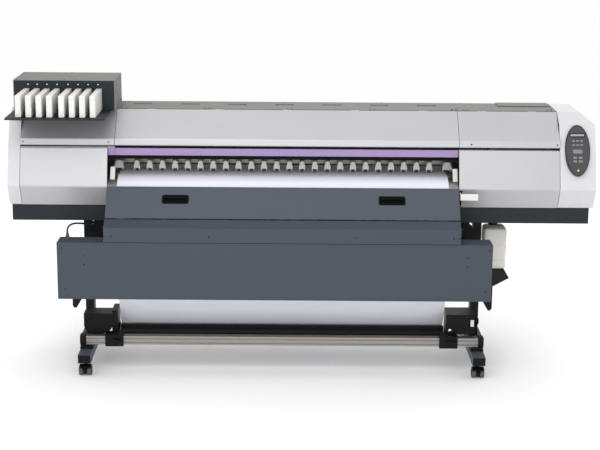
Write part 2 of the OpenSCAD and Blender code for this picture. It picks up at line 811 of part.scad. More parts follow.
// A caster's trail runs away from the column: dir is -1 at the front and 1 at the back
module caster_housing(x, y, dir) {
  pad_z = foot_z - caster_pad;
  wheel_y = y + dir * caster_trail;
  half = caster_gap / 2 - free_gap;
  color(black) difference() {
    union() {
      translate([x, y, caster_r]) cylinder(r = caster_stem_r, h = pad_z - free_gap - caster_r);
      translate([x, y, pad_z - 3]) cylinder(r = caster_pin_r, h = 9);
      rod_x(x - half, x + half, [wheel_y, caster_r], caster_r - 4);
      translate([x, y, pad_z - 8]) cylinder(r = 20, h = 6);
      block(x - half, x + half, min(y, wheel_y), max(y, wheel_y), caster_r, pad_z - 4);
    }
    rod_x(x - caster_w, x + caster_w, [wheel_y, caster_r], caster_axle_r + run_gap);
  }
}
module caster_wheels(x, y, dir) {
  wheel_y = y + dir * caster_trail;
  wheel_w = (caster_w - caster_gap) / 2;
  color(black) {
    for (s = [-1, 1]) let (x0 = x + s * (caster_gap + wheel_w) / 2 - wheel_w / 2)
      rod_x(x0, x0 + wheel_w, [wheel_y, caster_r], caster_r);
    rod_x(x - caster_w / 2, x + caster_w / 2, [wheel_y, caster_r], caster_axle_r);
  }
}
module caster_housing_front_left() {
  caster_housing(foot_xs[0], caster_front_y, -1);
}
module caster_housing_front_right() {
  caster_housing(foot_xs[1], caster_front_y, -1);
}
module caster_housing_rear_left() {
  caster_housing(foot_xs[0], caster_rear_y, 1);
}
module caster_housing_rear_right() {
  caster_housing(foot_xs[1], caster_rear_y, 1);
}
module caster_wheels_front_left() {
  caster_wheels(foot_xs[0], caster_front_y, -1);
}
module caster_wheels_front_right() {
  caster_wheels(foot_xs[1], caster_front_y, -1);
}
module caster_wheels_rear_left() {
  caster_wheels(foot_xs[0], caster_rear_y, 1);
}
module caster_wheels_rear_right() {
  caster_wheels(foot_xs[1], caster_rear_y, 1);
}

// ---- Rear roll brackets ----

spindle_r = 14;
function bracket_x(i) = column_xs[i] + (i == 0 ? -1 : 1) * (column_w / 2 - 9);

module rear_roll_brackets() {
  arm_t = 18;
  wedge = [[0, 330], [98, 330], [98, 178], [88, 165], [77, 168], [44, 224], [0, 262]];
  color(black) for (i = [0, 1]) {
    out = i == 0 ? -1 : 1;
    x = bracket_x(i);
    difference() {
      along_x(x - arm_t / 2, x + arm_t / 2)
        polygon([[column_y + column_d / 2, 330], [roll_y + 30, 330], [roll_y + 30, roll_z + 22],
                 [roll_y - 30, roll_z + 22], [roll_y - 30, 400], [column_y + column_d / 2, 400]]);
      rod_x(x - arm_t, x + arm_t, [roll_y, roll_z], spindle_r + free_gap);
      block(x - arm_t, x + arm_t, roll_y - spindle_r - free_gap, roll_y + spindle_r + free_gap,
            roll_z, roll_z + 60);
    }
    along_y(190, 215) polygon([for (p = wedge) [x + out * (p[0] + arm_t / 2 - 1), p[1] + 15]]);
  }
}

// ---- Waste bottle ----

bottle_x = column_xs[1] + column_w / 2 + 64;
bottle_w = 112;
bottle_d = 116;
bottle_z = dryer_z + 67;
bottle_h = 212;

module waste_bottle() {
  color([0.85, 0.84, 0.80, 0.8]) {
    translate([bottle_x, 0, bottle_z]) linear_extrude(height = bottle_h - 12)
      polygon(rounded_box(bottle_w, bottle_d, 14, 5));
    translate([bottle_x, 0, bottle_z + bottle_h - 12]) linear_extrude(height = 12)
      polygon(rounded_box(bottle_w - 14, bottle_d - 14, 12, 5));
    translate([bottle_x - 8, 0, bottle_z + bottle_h]) cylinder(r = 21, h = 16);
  }
}

module bottle_holder() {
  x0 = column_xs[1] + column_w / 2;
  top = bottle_z - free_gap;
  side = [[x0, top], [x0 + 112, top], [x0 + 138, top - 44], [x0, top - 120]];
  color(black) {
    for (y = [-62, 57]) along_y(y, y + 5) polygon(side);
    block(x0, x0 + 112, -62, 62, top - 4, top);
    block(x0, x0 + 5, -62, 62, top - 120, top);
  }
}

// ---- Ink rack ----

function cartridge_at(i) = cartridge_x + i * cartridge_pitch + (i > 3 ? cartridge_mid_gap : 0);

module ink_rack() {
  x1 = rack_x + rack_w;
  back = rack_front + rack_d;
  color(charcoal) difference() {
    union() {
      block(rack_x, x1, rack_front, rack_front + rack_wall, rack_z, rack_z + rack_h - 3);
      block(rack_x, x1 - 13, tray_front, back - 4, rack_z, rack_z + tray_t);
      block(rack_x, x1 - 13, tray_front, tray_front + 2, rack_z - 4, rack_z + tray_t);
      block(x1 - 13, x1, rack_front, back - 4, rack_z, rack_z + tray_t);
      for (i = [0:8]) let (x = i < 8 ? cartridge_at(i) : cartridge_at(7) + cartridge_pitch)
        block(x - 12, x - 10, rack_front, back - 40, rack_z, rack_z + rack_h - 12);
    }
    for (i = [0:7]) block(cartridge_at(i) - pocket_gap, cartridge_at(i) + cartridge_w + pocket_gap,
                          rack_front - 1, rack_front + rack_wall + 1,
                          cartridge_z - 1, cartridge_z + cartridge_h + pocket_gap);
  }
}

module ink_rack_cover() {
  x1 = rack_x + rack_w;
  back = rack_front + rack_d;
  top = rack_z + rack_h;
  color(warm_grey) {
    block(rack_x - rack_wall, x1 + rack_wall, rack_front, back, top - rack_wall, top);
    block(rack_x - rack_wall, rack_x, rack_front, back, rack_z, top);
    block(x1, x1 + rack_wall, rack_front, back, rack_z, top);
    block(rack_x - rack_wall, x1 + rack_wall, back - rack_wall, back, rack_z, top);
  }
}

module ink_cartridge(i) {
  y0 = cartridge_front;
  outline = rounded_box(cartridge_w, cartridge_h, 3, 3);
  color(white) translate([cartridge_at(i) + cartridge_w / 2, 0, cartridge_z + cartridge_h / 2 - 0.5])
    along_y(y0, y0 + cartridge_l) polygon(outline);
}
module ink_cartridge_1() {
  ink_cartridge(0);
}
module ink_cartridge_2() {
  ink_cartridge(1);
}
module ink_cartridge_3() {
  ink_cartridge(2);
}
module ink_cartridge_4() {
  ink_cartridge(3);
}
module ink_cartridge_5() {
  ink_cartridge(4);
}
module ink_cartridge_6() {
  ink_cartridge(5);
}
module ink_cartridge_7() {
  ink_cartridge(6);
}
module ink_cartridge_8() {
  ink_cartridge(7);
}

// ---- Media clamp lever ----

module clamp_lever() {
  grip_w = 78;
  boss_r = 12;
  color(white) {
    along_x(lever_x, lever_x + lever_t)
      polygon([[lever_pivot[0], lever_pivot[1] - boss_r], [lever_pivot[0], lever_pivot[1] + boss_r],
               [knee[0] - 36, lever_pivot[1] + 6], [knee[0] - 36, lever_pivot[1] - 22],
               [knee[0] - 20, lever_pivot[1] - 22]]);
    rod_x(lever_x - 1, lever_x + lever_t + 4, lever_pivot, boss_r);
    along_x(lever_x + lever_t - 0.5, lever_x + lever_t + grip_w)
      polygon([for (p = rounded_box(16, 32, 5, 4)) p + [knee[0] - 28, lever_pivot[1] - 8]]);
  }
}

// ---- Take-up ----

module takeup_rail() {
  groove = 8;
  depth = 7;
  color(metal) along_x(rail_x0, rail_x1) difference() {
    translate([rail_y, rail_z]) square([rail_d, rail_h]);
    for (z = [rail_h * 0.27, rail_h * 0.73]) {
      translate([rail_y - 1, rail_z + z - groove / 2]) square([depth + 1, groove]);
      translate([rail_y + rail_d - depth, rail_z + z - groove / 2]) square([depth + 1, groove]);
    }
    translate([rail_y + rail_d / 2 - groove / 2, rail_z + rail_h - depth]) square([groove, depth + 1]);
    translate([rail_y + rail_d / 2, rail_z + rail_h / 2 - 3]) circle(r = 5);
  }
  color(black) for (x = foot_xs)
    block(x - foot_w / 2, x + foot_w / 2, rail_y, rail_y + rail_d, foot_top, rail_z);
}

// A clamp that holds the rail from its front, top and back
module rail_clamp(x0, x1) {
  gap = free_gap;
  t = 10;
  top = rail_z + rail_h + gap;
  block(x0, x1, rail_y - gap - t, rail_y - gap, rail_z - 6, top + t);
  block(x0, x1, rail_y - gap - t, rail_y + rail_d + gap + t, top, top + t);
  block(x0, x1, rail_y + rail_d + gap, rail_y + rail_d + gap + t, rail_z - 6, top + t);
}

module takeup_holder_left() {
  plate_x = media_left - 36;
  hub_l = 40;
  unit_x0 = rail_x0 - 16;
  unit_x1 = plate_x + 1;
  unit_z = core[1] + 8;
  color(black) {
    rail_clamp(plate_x - 28, plate_x + 60);
    block(plate_x, plate_x + 28, core[0] - 62, core[0] + 55, core[1] - 42, core[1] + 126);
    rod_x(plate_x + 27, media_left + hub_l, core, core_r - core_wall - run_gap);
    rod_x(plate_x + 27, media_left - 3, core, core_r + 8);
    along_y(core[0] - 62, core[0] + 35) translate([(unit_x0 + unit_x1) / 2, unit_z + 50])
      polygon(concat([[(unit_x1 - unit_x0) / 2, 52], [-(unit_x1 - unit_x0) / 2, 52]],
                     [for (p = arc([0, -14], (unit_x1 - unit_x0) / 2, 180, 360, 16)) [p[0], p[1] * 0.62]]));
  }
}

drive_x0 = media_right + 8;
drive_x1 = drive_x0 + 137;
drive_y0 = core[0] - 80;

module takeup_drive_unit() {
  top = core[1] + 120;
  back = core[0] + 50;
  low = rail_z + rail_h + 11;
  color(black) {
    difference() {
      block(drive_x0, drive_x1, drive_y0, back, low, top);
      rod_x(drive_x0 - 1, drive_x1 - 30, core, drive_shaft_r + run_gap);
      block(rocker_x - 10, rocker_x + 10, drive_y0 - 1, drive_y0 + 14, rocker_z - 21, rocker_z + 21);
    }
    difference() {
      block(drive_x0, drive_x0 + 40, rail_y + rail_d + 12, back, core[1] - 34, low + 1);
      rod_x(drive_x0 - 1, drive_x0 + 41, core, drive_shaft_r + run_gap);
    }
    rail_clamp(drive_x0 - 36, drive_x0 + 52);
    translate([drive_x1, drive_y0 + 40, rocker_z]) rotate([0, 90, 0]) cylinder(r = 15, h = 22);
  }
}

rocker_x = drive_x1 - 13;
rocker_z = core[1] + 78;
drive_shaft_r = 15;

module power_rocker() {
  color(white) translate([rocker_x, drive_y0 + 7, rocker_z]) rotate([-5, 0, 0]) {
    translate([-8, -11, -16]) cube([16, 12, 32]);
    rotate([0, 90, 0]) cylinder(r = 4, h = 16, center = true);
  }
}

module takeup_core() {
  color(charcoal) {
    difference() {
      rod_x(media_left, media_right, core, core_r);
      rod_x(media_left - 1, media_right - 12, core, core_r - core_wall);
    }
    rod_x(media_right - 1, drive_x0 + 60, core, drive_shaft_r);
  }
}

stand_column_left();
stand_column_right();
stand_foot_left();
stand_foot_right();
stand_crossbar();
guide_beam();
base_chassis();
end_cap_left();
end_cap_right();
left_side_cover();
right_lower_cover();
top_plate();
rear_cover();
platen();
heater_apron();
rear_feed_guide();
dryer_case();
dryer_hood();
ink_rack();
ink_rack_cover();
control_panel();
keypad();
takeup_rail();
takeup_drive_unit();
rear_roll_brackets();
bottle_holder();
media_web();
dryer_cable();
cable_gland();
cover_screws();
front_cover();
front_window();
right_cover();
service_panel();
clamp_lever();
pinch_arms();
pinch_wheels();
grit_roller();
print_carriage();
takeup_core();
takeup_holder_left();
media_roll();
waste_bottle();
power_rocker();
ink_cartridge_1();
ink_cartridge_2();
ink_cartridge_3();
ink_cartridge_4();
ink_cartridge_5();
ink_cartridge_6();
ink_cartridge_7();
ink_cartridge_8();
caster_housing_front_left();
caster_housing_front_right();
caster_housing_rear_left();
caster_housing_rear_right();
caster_wheels_front_left();
caster_wheels_front_right();
caster_wheels_rear_left();
caster_wheels_rear_right();
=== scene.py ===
"""Looks of a wide-format roll printer on its wheeled stand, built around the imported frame.

X runs to the operator's right, Y to the back and Z up from the floor. Shapes are drawn in
millimetres and turned into metres when they become pieces.
"""

import json
import math
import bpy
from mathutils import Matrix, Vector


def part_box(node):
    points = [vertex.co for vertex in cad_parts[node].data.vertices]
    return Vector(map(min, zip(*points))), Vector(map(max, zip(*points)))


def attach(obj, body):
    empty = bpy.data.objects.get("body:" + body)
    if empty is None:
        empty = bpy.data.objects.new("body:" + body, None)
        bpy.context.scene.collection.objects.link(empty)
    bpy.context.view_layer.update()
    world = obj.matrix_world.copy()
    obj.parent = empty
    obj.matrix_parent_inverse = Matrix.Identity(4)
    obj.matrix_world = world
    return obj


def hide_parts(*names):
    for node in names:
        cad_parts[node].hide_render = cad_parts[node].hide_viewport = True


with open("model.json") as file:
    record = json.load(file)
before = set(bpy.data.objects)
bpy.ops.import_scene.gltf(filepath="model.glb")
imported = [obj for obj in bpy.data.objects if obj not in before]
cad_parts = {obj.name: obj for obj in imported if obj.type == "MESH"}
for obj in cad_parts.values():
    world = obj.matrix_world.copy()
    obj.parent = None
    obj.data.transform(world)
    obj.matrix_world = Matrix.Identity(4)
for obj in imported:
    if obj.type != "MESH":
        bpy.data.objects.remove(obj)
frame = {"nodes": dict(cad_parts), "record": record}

from types import SimpleNamespace

import bmesh
import bpy
from bpy.props import FloatProperty, FloatVectorProperty, IntProperty, PointerProperty
from mathutils import Matrix, Vector

bl_info = {
    "name": "Roll Printer Looks",
    "version": (1, 0, 0),
    "blender": (4, 5, 0),
    "location": "View3D > Sidebar > Roll Printer",
    "description": "Finishes and small parts of a wide-format roll printer",
    "category": "Object",
}

MM = 0.001
# Places that several pieces share, in millimetres in the part's frame
TOP_Z = 1250
REAR_Y = 310
SIDE_X = 1400
COLUMN_Y = 20
DRIVE_FRONT = -230
CORE_Y, CORE_Z = -150, 165
ROLL_Y, ROLL_Z = 270.5, 420
VENT_Y = 136
VENT_CENTRES = [-84 + 233 * i for i in range(-3, 4)]
HINGE_CENTRES = (-860, -460, -60, 340, 735, 790, 1195)

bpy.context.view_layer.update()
CORNERS = ("front_left", "front_right", "rear_left", "rear_right")
SLOT_OF = {part["node"]: part["material_slot"] for part in frame["record"]["subparts"]}


def linear(code):
    """An sRGB colour such as '#c8c8ca' as linear RGB."""
    shares = [int(code[i:i + 2], 16) / 255 for i in (1, 3, 5)]
    return tuple(s / 12.92 if s <= 0.04045 else ((s + 0.055) / 1.055) ** 2.4 for s in shares)


def colour_property(name, description, code):
    return FloatVectorProperty(name=name, description=description, subtype="COLOR",
                               min=0, max=1, default=linear(code))


# ---- Settings ----


class StageSettings(bpy.types.PropertyGroup):
    """Where the camera stands, and how the studio is lit"""

    camera_at: FloatVectorProperty(
        name="Camera place", description="Where the camera stands", subtype="TRANSLATION",
        unit="LENGTH", default=(-0.0786, -6.870, 2.324))
    camera_tilt: FloatProperty(
        name="Camera tilt", description="Angle between the view and straight down",
        subtype="ANGLE", default=math.radians(76.48))
    camera_roll: FloatProperty(
        name="Camera roll", description="Turn of the camera about its own view",
        subtype="ANGLE", default=math.radians(0.4))
    lens: FloatProperty(
        name="Lens", description="Focal length on a 36 mm sensor, in millimetres", default=85.92)
    shift: FloatProperty(
        name="Shift", description="Sideways shift of the picture, as a share of its width",
        default=0.025)
    floor_colour: colour_property("Floor", "Colour of the studio floor", "#fdfdfd")
    sky_strength: FloatProperty(
        name="Sky", description="Strength of the even light from all round", default=1.0)
    key_power: FloatProperty(
        name="Key light", description="Power of the large light above the front", unit="POWER",
        default=110)
    fill_power: FloatProperty(
        name="Fill light", description="Power of the low light before the front", unit="POWER",
        default=34)
    rim_power: FloatProperty(
        name="Back light", description="Power of the light above the back", unit="POWER",
        default=50)


class FinishSettings(bpy.types.PropertyGroup):
    """Colours of the paints and plastics"""

    silver: colour_property("Silver", "Paint of the sheet covers", "#b8b8ba")
    cap: colour_property("End caps", "Plastic of the two end caps", "#cacace")
    charcoal: colour_property("Charcoal", "Paint of the chassis, feet and rack", "#182026")
    panel: colour_property("Service panel", "Paint of the front service panel", "#464d56")
    dryer: colour_property("Dryer", "Paint of the dryer and its hood", "#3b444d")
    warm_grey: colour_property("Warm grey", "Paint of the top plate", "#72726e")
    stand_black: colour_property("Stand", "Paint of the columns", "#1b1c1e")
    black: colour_property("Black plastic", "Moulded black parts", "#0c0d0e")
    key_grey: colour_property("Keys", "Keys of the control panel", "#7c7c82")
    white: colour_property("White plastic", "Cartridges, arms and grip", "#dad8d4")
    bottle: colour_property("Bottle", "Waste bottle", "#dddad4")
    media: colour_property("Media", "Printable vinyl", "#e2e3ec")
    window: colour_property("Window", "Tinted window", "#ab95c4")
    lamp: colour_property("Lamp", "Lit lamp of the control panel", "#9fd24a")


class DetailSettings(bpy.types.PropertyGroup):
    """Sizes of the small parts"""

    screw_radius: FloatProperty(
        name="Screw", description="Radius of a cover screw's head", unit="LENGTH",
        default=3.6 * MM)
    bolt_radius: FloatProperty(
        name="Bolt", description="Radius of a stand bolt's head", unit="LENGTH", default=6.5 * MM)
    cable_diameter: FloatProperty(
        name="Cable", description="Diameter of the dryer's cable", unit="LENGTH", default=9 * MM)
    louvre_pitch: FloatProperty(
        name="Louvre pitch", description="Distance between louvres", unit="LENGTH",
        default=12 * MM)
    louvre_count: IntProperty(
        name="Louvres", description="Louvres in one bank", min=2, default=13)
    vent_pitch: FloatProperty(
        name="Vent bar pitch", description="Distance between the bars of a top vent",
        unit="LENGTH", default=6 * MM)
    knob_ribs: IntProperty(name="Knob ribs", description="Ribs round a knob", min=6, default=18)


def stage_settings():
    return bpy.context.scene.roll_printer_stage


def finish_settings():
    return bpy.context.scene.roll_printer_finish


def detail_settings():
    return bpy.context.scene.roll_printer_detail


# ---- Nodes and materials ----


def add(tree, kind, inputs=None, **settings):
    """Adds a node, makes its settings, and sets or links its inputs by name or number."""
    node = tree.nodes.new(kind)
    for name, value in settings.items():
        setattr(node, name, value)
    for name, value in (inputs or {}).items():
        if isinstance(value, bpy.types.NodeSocket):
            tree.links.new(value, node.inputs[name])
        else:
            node.inputs[name].default_value = value
    return node


def shade(colour, share):
    """A colour made lighter or darker, as RGBA."""
    return tuple(min(1.0, channel * share) for channel in colour) + (1.0,)


def blank(name):
    """A new material, its tree, its shader and the coordinates that its patterns read."""
    made = bpy.data.materials.new(name)
    made.use_nodes = True
    tree = made.node_tree
    place = add(tree, "ShaderNodeTexCoord").outputs["Object"]
    return made, tree, tree.nodes["Principled BSDF"], place


def skin(name, colour, grain, depth, roughness, wear_and_highlight=0.15, mottle=0.04, coat=0.0, specular=0.5):
    """A painted or moulded surface: faint mottling, a grained skin and softened edges, lightened partly as
    rubbed wear and partly as a painted highlight.

    grain and depth are the skin's own, in millimetres. specular is 0.5 on a usual surface and
    less on one so matt or dark that a full sheen would grey it.
    """
    made, tree, shader, place = blank(name)
    broad = add(tree, "ShaderNodeTexNoise", {"Vector": place, "Scale": 1 / (180 * MM), "Detail": 4.0})
    tint = add(tree, "ShaderNodeMix",
               {"Factor": broad.outputs["Fac"], 6: shade(colour, 1 - mottle),
                7: shade(colour, 1 + mottle)}, data_type="RGBA")
    soft = add(tree, "ShaderNodeBevel", {"Radius": 1.4 * MM}, samples=4)
    true = add(tree, "ShaderNodeNewGeometry")
    flat = add(tree, "ShaderNodeVectorMath",
               {0: soft.outputs["Normal"], 1: true.outputs["Normal"]}, operation="DOT_PRODUCT")
    # Painted highlight and wear: edges lighten towards 1.7 times the colour, partly rubbed paint, partly the
    # light a rounded edge catches
    edge = add(tree, "ShaderNodeMapRange",
               {"Value": flat.outputs["Value"], "From Min": 0.99, "From Max": 0.80, "To Max": wear_and_highlight})
    worn_and_highlit = add(tree, "ShaderNodeMix",
               {"Factor": edge.outputs["Result"], 6: tint.outputs[2], 7: shade(colour, 1.7)},
               data_type="RGBA")
    fine = add(tree, "ShaderNodeTexNoise", {"Vector": place, "Scale": 1 / (grain * MM), "Detail": 2.0})
    bump = add(tree, "ShaderNodeBump",
               {"Strength": 0.5, "Distance": depth * MM, "Height": fine.outputs["Fac"],
                "Normal": soft.outputs["Normal"]})
    gloss = add(tree, "ShaderNodeMapRange",
                {"Value": broad.outputs["Fac"], "To Min": roughness - 0.05, "To Max": roughness + 0.05})
    tree.links.new(worn_and_highlit.outputs[2], shader.inputs["Base Color"])
    tree.links.new(bump.outputs["Normal"], shader.inputs["Normal"])
    tree.links.new(gloss.outputs["Result"], shader.inputs["Roughness"])
    shader.inputs["Coat Weight"].default_value = coat
    shader.inputs["Specular IOR Level"].default_value = specular
    return made


def silver_powder_coat():
    # Silver metallic powder coat on sheet steel: its flakes mirror a little under an orange-peel skin
    made = skin("silver_powder_coat", finish_settings().silver, 4.0, 0.05, 0.42, coat=0.05)
    made.node_tree.nodes["Principled BSDF"].inputs["Metallic"].default_value = 0.45
    return made


def end_cap_abs():
    # Moulded ABS with a spark-eroded grain: a little duller than the paint beside it
    return skin("end_cap_abs", finish_settings().cap, 2.5, 0.06, 0.50)


def charcoal_powder_coat():
    # Textured powder coat: a fine sandy skin that hides fingerprints
    return skin("charcoal_powder_coat", finish_settings().charcoal, 2.0, 0.12, 0.55, wear_and_highlight=0.25, specular=0.3)


def panel_powder_coat():
    # Textured powder coat on the sheet that the operator opens
    return skin("panel_powder_coat", finish_settings().panel, 2.0, 0.10, 0.50, wear_and_highlight=0.22, specular=0.3)


def dryer_powder_coat():
    # Heat-proof textured powder coat, slightly uneven over such a long sheet
    return skin("dryer_powder_coat", finish_settings().dryer, 2.2, 0.10, 0.52, wear_and_highlight=0.22,
                mottle=0.06, specular=0.3)


def warm_grey_powder_coat():
    # Satin powder coat of the top plate, dulled by dust and hands
    return skin("warm_grey_powder_coat", finish_settings().warm_grey, 3.0, 0.08, 0.60, mottle=0.05,
                specular=0.25)


def stand_powder_coat():
    # Satin black powder coat on steel tube, with pale corners, partly rubbed wear and partly painted
    # highlight
    return skin("stand_powder_coat", finish_settings().stand_black, 3.0, 0.10, 0.42, wear_and_highlight=0.10,
                specular=0.15)


def black_abs():
    # Moulded black ABS with a fine grain
    return skin("black_abs", finish_settings().black, 1.5, 0.08, 0.45, wear_and_highlight=0.08, specular=0.15)


def bezel_abs():
    # Smooth dark grey ABS round the keys
    return skin("bezel_abs", linear("#3a3a3e"), 1.5, 0.04, 0.38, wear_and_highlight=0.10)


def key_rubber():
    # Grey silicone keys: soft, dull and clean
    return skin("key_rubber", finish_settings().key_grey, 1.2, 0.03, 0.60, wear_and_highlight=0.0)


def carriage_abs():
    # Dark moulded cover of the print carriage
    return skin("carriage_abs", linear("#2b2d31"), 2.0, 0.06, 0.45, wear_and_highlight=0.10)


def white_abs():
    # White moulded ABS, yellowed only a little
    return skin("white_abs", finish_settings().white, 2.0, 0.04, 0.42, wear_and_highlight=0.0, mottle=0.015)


def rubber():
    # Black rubber: nearly no gloss, and dusty in patches
    return skin("rubber", linear("#141414"), 1.0, 0.10, 0.75, wear_and_highlight=0.0, mottle=0.12)


def cable_pvc():
    # Black PVC jacket, smoother and shinier than rubber
    return skin("cable_pvc", linear("#121214"), 1.0, 0.04, 0.45, wear_and_highlight=0.0)


def black_and_painted_shade():
    # Dead black seen only in gaps and recesses: mostly painted shade, and on the handle liners and window
    # rails partly also their own black
    return skin("black_and_painted_shade", linear("#0b0b0c"), 2.0, 0.05, 0.80, wear_and_highlight=0.0, specular=0.1)


def oxide_steel():
    # Black-oxide screw steel: a dark metal that still glints
    made = skin("oxide_steel", linear("#34363a"), 0.8, 0.03, 0.38, wear_and_highlight=0.4)
    made.node_tree.nodes["Principled BSDF"].inputs["Metallic"].default_value = 0.8
    return made


def drawn(name, colour, roughness, pitch, depth):
    """A metal with fine lines drawn along X, pitch and depth in millimetres."""
    made, tree, shader, place = blank(name)
    stretched = add(tree, "ShaderNodeMapping", {"Vector": place, "Scale": (0.01, 1.0, 1.0)})
    lines = add(tree, "ShaderNodeTexNoise",
                {"Vector": stretched.outputs["Vector"], "Scale": 1 / (pitch * MM), "Detail": 3.0})
    tint = add(tree, "ShaderNodeMix",
               {"Factor": lines.outputs["Fac"], 6: shade(colour, 0.93), 7: shade(colour, 1.05)},
               data_type="RGBA")
    soft = add(tree, "ShaderNodeBevel", {"Radius": 0.8 * MM}, samples=4)
    bump = add(tree, "ShaderNodeBump",
               {"Strength": 0.4, "Distance": depth * MM, "Height": lines.outputs["Fac"],
                "Normal": soft.outputs["Normal"]})
    gloss = add(tree, "ShaderNodeMapRange",
                {"Value": lines.outputs["Fac"], "To Min": roughness - 0.06, "To Max": roughness + 0.08})
    tree.links.new(tint.outputs[2], shader.inputs["Base Color"])
    tree.links.new(bump.outputs["Normal"], shader.inputs["Normal"])
    tree.links.new(gloss.outputs["Result"], shader.inputs["Roughness"])
    shader.inputs["Metallic"].default_value = 1.0
    return made


def anodised_aluminium():
    # Extruded and anodised: soft satin metal with long drawing lines
    return drawn("anodised_aluminium", linear("#9a9692"), 0.38, 3.0, 0.03)


def ground_steel():
    # Ground shaft steel: brighter and tighter lines than the extrusions
    return drawn("ground_steel", linear("#b9b9b8"), 0.28, 1.5, 0.01)


def nickel_plate():
    # Bright nickel plating on small turned parts
    return drawn("nickel_plate", linear("#dcdad4"), 0.18, 1.0, 0.003)


def clouded(name, pale, deep, size, detail, strength, depth, **constants):
    """A surface that drifts between two colours, with waves to match.

    size and depth are those of the clouds, in millimetres. constants are the shader's own inputs,
    by name with _ for a space. Gives the material, its tree, its shader and its clouds.
    """
    made, tree, shader, place = blank(name)
    cloud = add(tree, "ShaderNodeTexNoise", {"Vector": place, "Scale": 1 / (size * MM), "Detail": detail})
    tint = add(tree, "ShaderNodeMix",
               {"Factor": cloud.outputs["Fac"], 6: pale, 7: deep}, data_type="RGBA")
    bump = add(tree, "ShaderNodeBump",
               {"Strength": strength, "Distance": depth * MM, "Height": cloud.outputs["Fac"]})
    tree.links.new(tint.outputs[2], shader.inputs["Base Color"])
    tree.links.new(bump.outputs["Normal"], shader.inputs["Normal"])
    for label, value in constants.items():
        shader.inputs[label.replace("_", " ")].default_value = value
    return made, tree, shader, cloud


def printable_vinyl():
    # White self-adhesive vinyl: smooth and slightly glossy, with slow waves along its width
    colour = finish_settings().media
    made, tree, shader, waves = clouded("printable_vinyl", shade(colour, 0.97), shade(colour, 1.03),
                                        350, 2.0, 0.35, 4.0, Coat_Weight=0.2)
    gloss = add(tree, "ShaderNodeMapRange",
                {"Value": waves.outputs["Fac"], "To Min": 0.30, "To Max": 0.40})
    tree.links.new(gloss.outputs["Result"], shader.inputs["Roughness"])
    return made


def tinted_acrylic():
    # Cast acrylic that stops ultraviolet light: glossy, deep in colour and a little see-through
    colour = finish_settings().window
    return clouded("tinted_acrylic", shade(colour, 0.94), shade(colour, 1.06), 400, 1.0, 0.2, 1.0,
                   Roughness=0.12, IOR=1.49, Transmission_Weight=0.25)[0]


def blown_polyethylene():
    # Blow-moulded HDPE: waxy, milky and slightly see-through, cloudier where its wall is thicker
    colour = finish_settings().bottle
    return clouded("blown_polyethylene", shade(colour, 0.93), shade(colour, 1.05), 60, 3.0, 0.3, 1.0,
                   Roughness=0.38, IOR=1.54, Transmission_Weight=0.12, Subsurface_Weight=0.2,
                   Subsurface_Scale=10 * MM)[0]


def core_board():
    # Wound kraft board of a roll's core: brown, dull and fibrous
    return clouded("core_board", shade(linear("#8b6b48"), 1.0), shade(linear("#b3926a"), 1.0), 3, 5.0,
                   0.5, 0.2, Roughness=0.85)[0]


def display_glass():
    # Reflective display behind a clear pane: pale grey cells on a slightly darker ground
    made, tree, shader, place = blank("display_glass")
    cells = add(tree, "ShaderNodeTexVoronoi", {"Vector": place, "Scale": 1 / (3 * MM), "Randomness": 0.0})
    tint = add(tree, "ShaderNodeMix",
               {"Factor": cells.outputs["Distance"], 6: shade(linear("#a9aaa2"), 1.0),
                7: shade(linear("#83847e"), 1.0)}, data_type="RGBA")
    tree.links.new(tint.outputs[2], shader.inputs["Base Color"])
    shader.inputs["Roughness"].default_value = 0.12
    return made


def glowing(name, colour, strength):
    """A lens that glows, its colour and glow painted brighter at its middle and darker at its rim as it
    faces the view: a painted highlight and shade on its dome.
    """
    made, tree, shader, _ = blank(name)
    rim = add(tree, "ShaderNodeLayerWeight", {"Blend": 0.4})
    tint = add(tree, "ShaderNodeMix",
               {"Factor": rim.outputs["Facing"], 6: shade(colour, 1.2), 7: shade(colour, 0.6)},
               data_type="RGBA")
    tree.links.new(tint.outputs[2], shader.inputs["Base Color"])
    tree.links.new(tint.outputs[2], shader.inputs["Emission Color"])
    shader.inputs["Emission Strength"].default_value = strength
    shader.inputs["Roughness"].default_value = 0.2
    return made


def green_lens():
    # Clear green lens with a lit lamp behind it
    return glowing("green_lens", finish_settings().lamp, 0.5)


def pale_lens():
    # Milky lens of an unlit slot lamp, with a faint painted glow
    return glowing("pale_lens", linear("#c9c6cf"), 0.1)


FINISHES = (
    silver_powder_coat, end_cap_abs, charcoal_powder_coat, panel_powder_coat, dryer_powder_coat,
    warm_grey_powder_coat, stand_powder_coat, black_abs, bezel_abs, key_rubber, carriage_abs,
    white_abs, rubber, cable_pvc, black_and_painted_shade, oxide_steel, anodised_aluminium, ground_steel,
    nickel_plate, printable_vinyl, tinted_acrylic, blown_polyethylene, core_board, display_glass,
    green_lens, pale_lens,
)
FINISH_OF_SLOT = {
    "silver_paint": "silver_powder_coat", "silver_abs": "end_cap_abs",
    "charcoal_paint": "charcoal_powder_coat", "panel_paint": "panel_powder_coat",
    "dryer_paint": "dryer_powder_coat", "warm_grey_paint": "warm_grey_powder_coat",
    "black_paint": "stand_powder_coat", "black_plastic": "black_abs", "key_plastic": "key_rubber",
    "carriage_plastic": "carriage_abs", "white_plastic": "white_abs",
    "bottle_plastic": "blown_polyethylene", "aluminium": "anodised_aluminium",
    "steel": "ground_steel", "media_vinyl": "printable_vinyl", "window_tint": "tinted_acrylic",
    "rubber": "rubber", "caster_tread": "rubber",
}
SLOT_OF_FINISH = {finish: slot for slot, finish in reversed(FINISH_OF_SLOT.items())}
SLOT_OF_FINISH.update({
    "bezel_abs": "black_plastic", "black_and_painted_shade": "black_plastic", "cable_pvc": "black_plastic",
    "oxide_steel": "steel", "nickel_plate": "steel", "core_board": "rubber",
    "display_glass": "window_tint", "green_lens": "window_tint", "pale_lens": "window_tint",
})


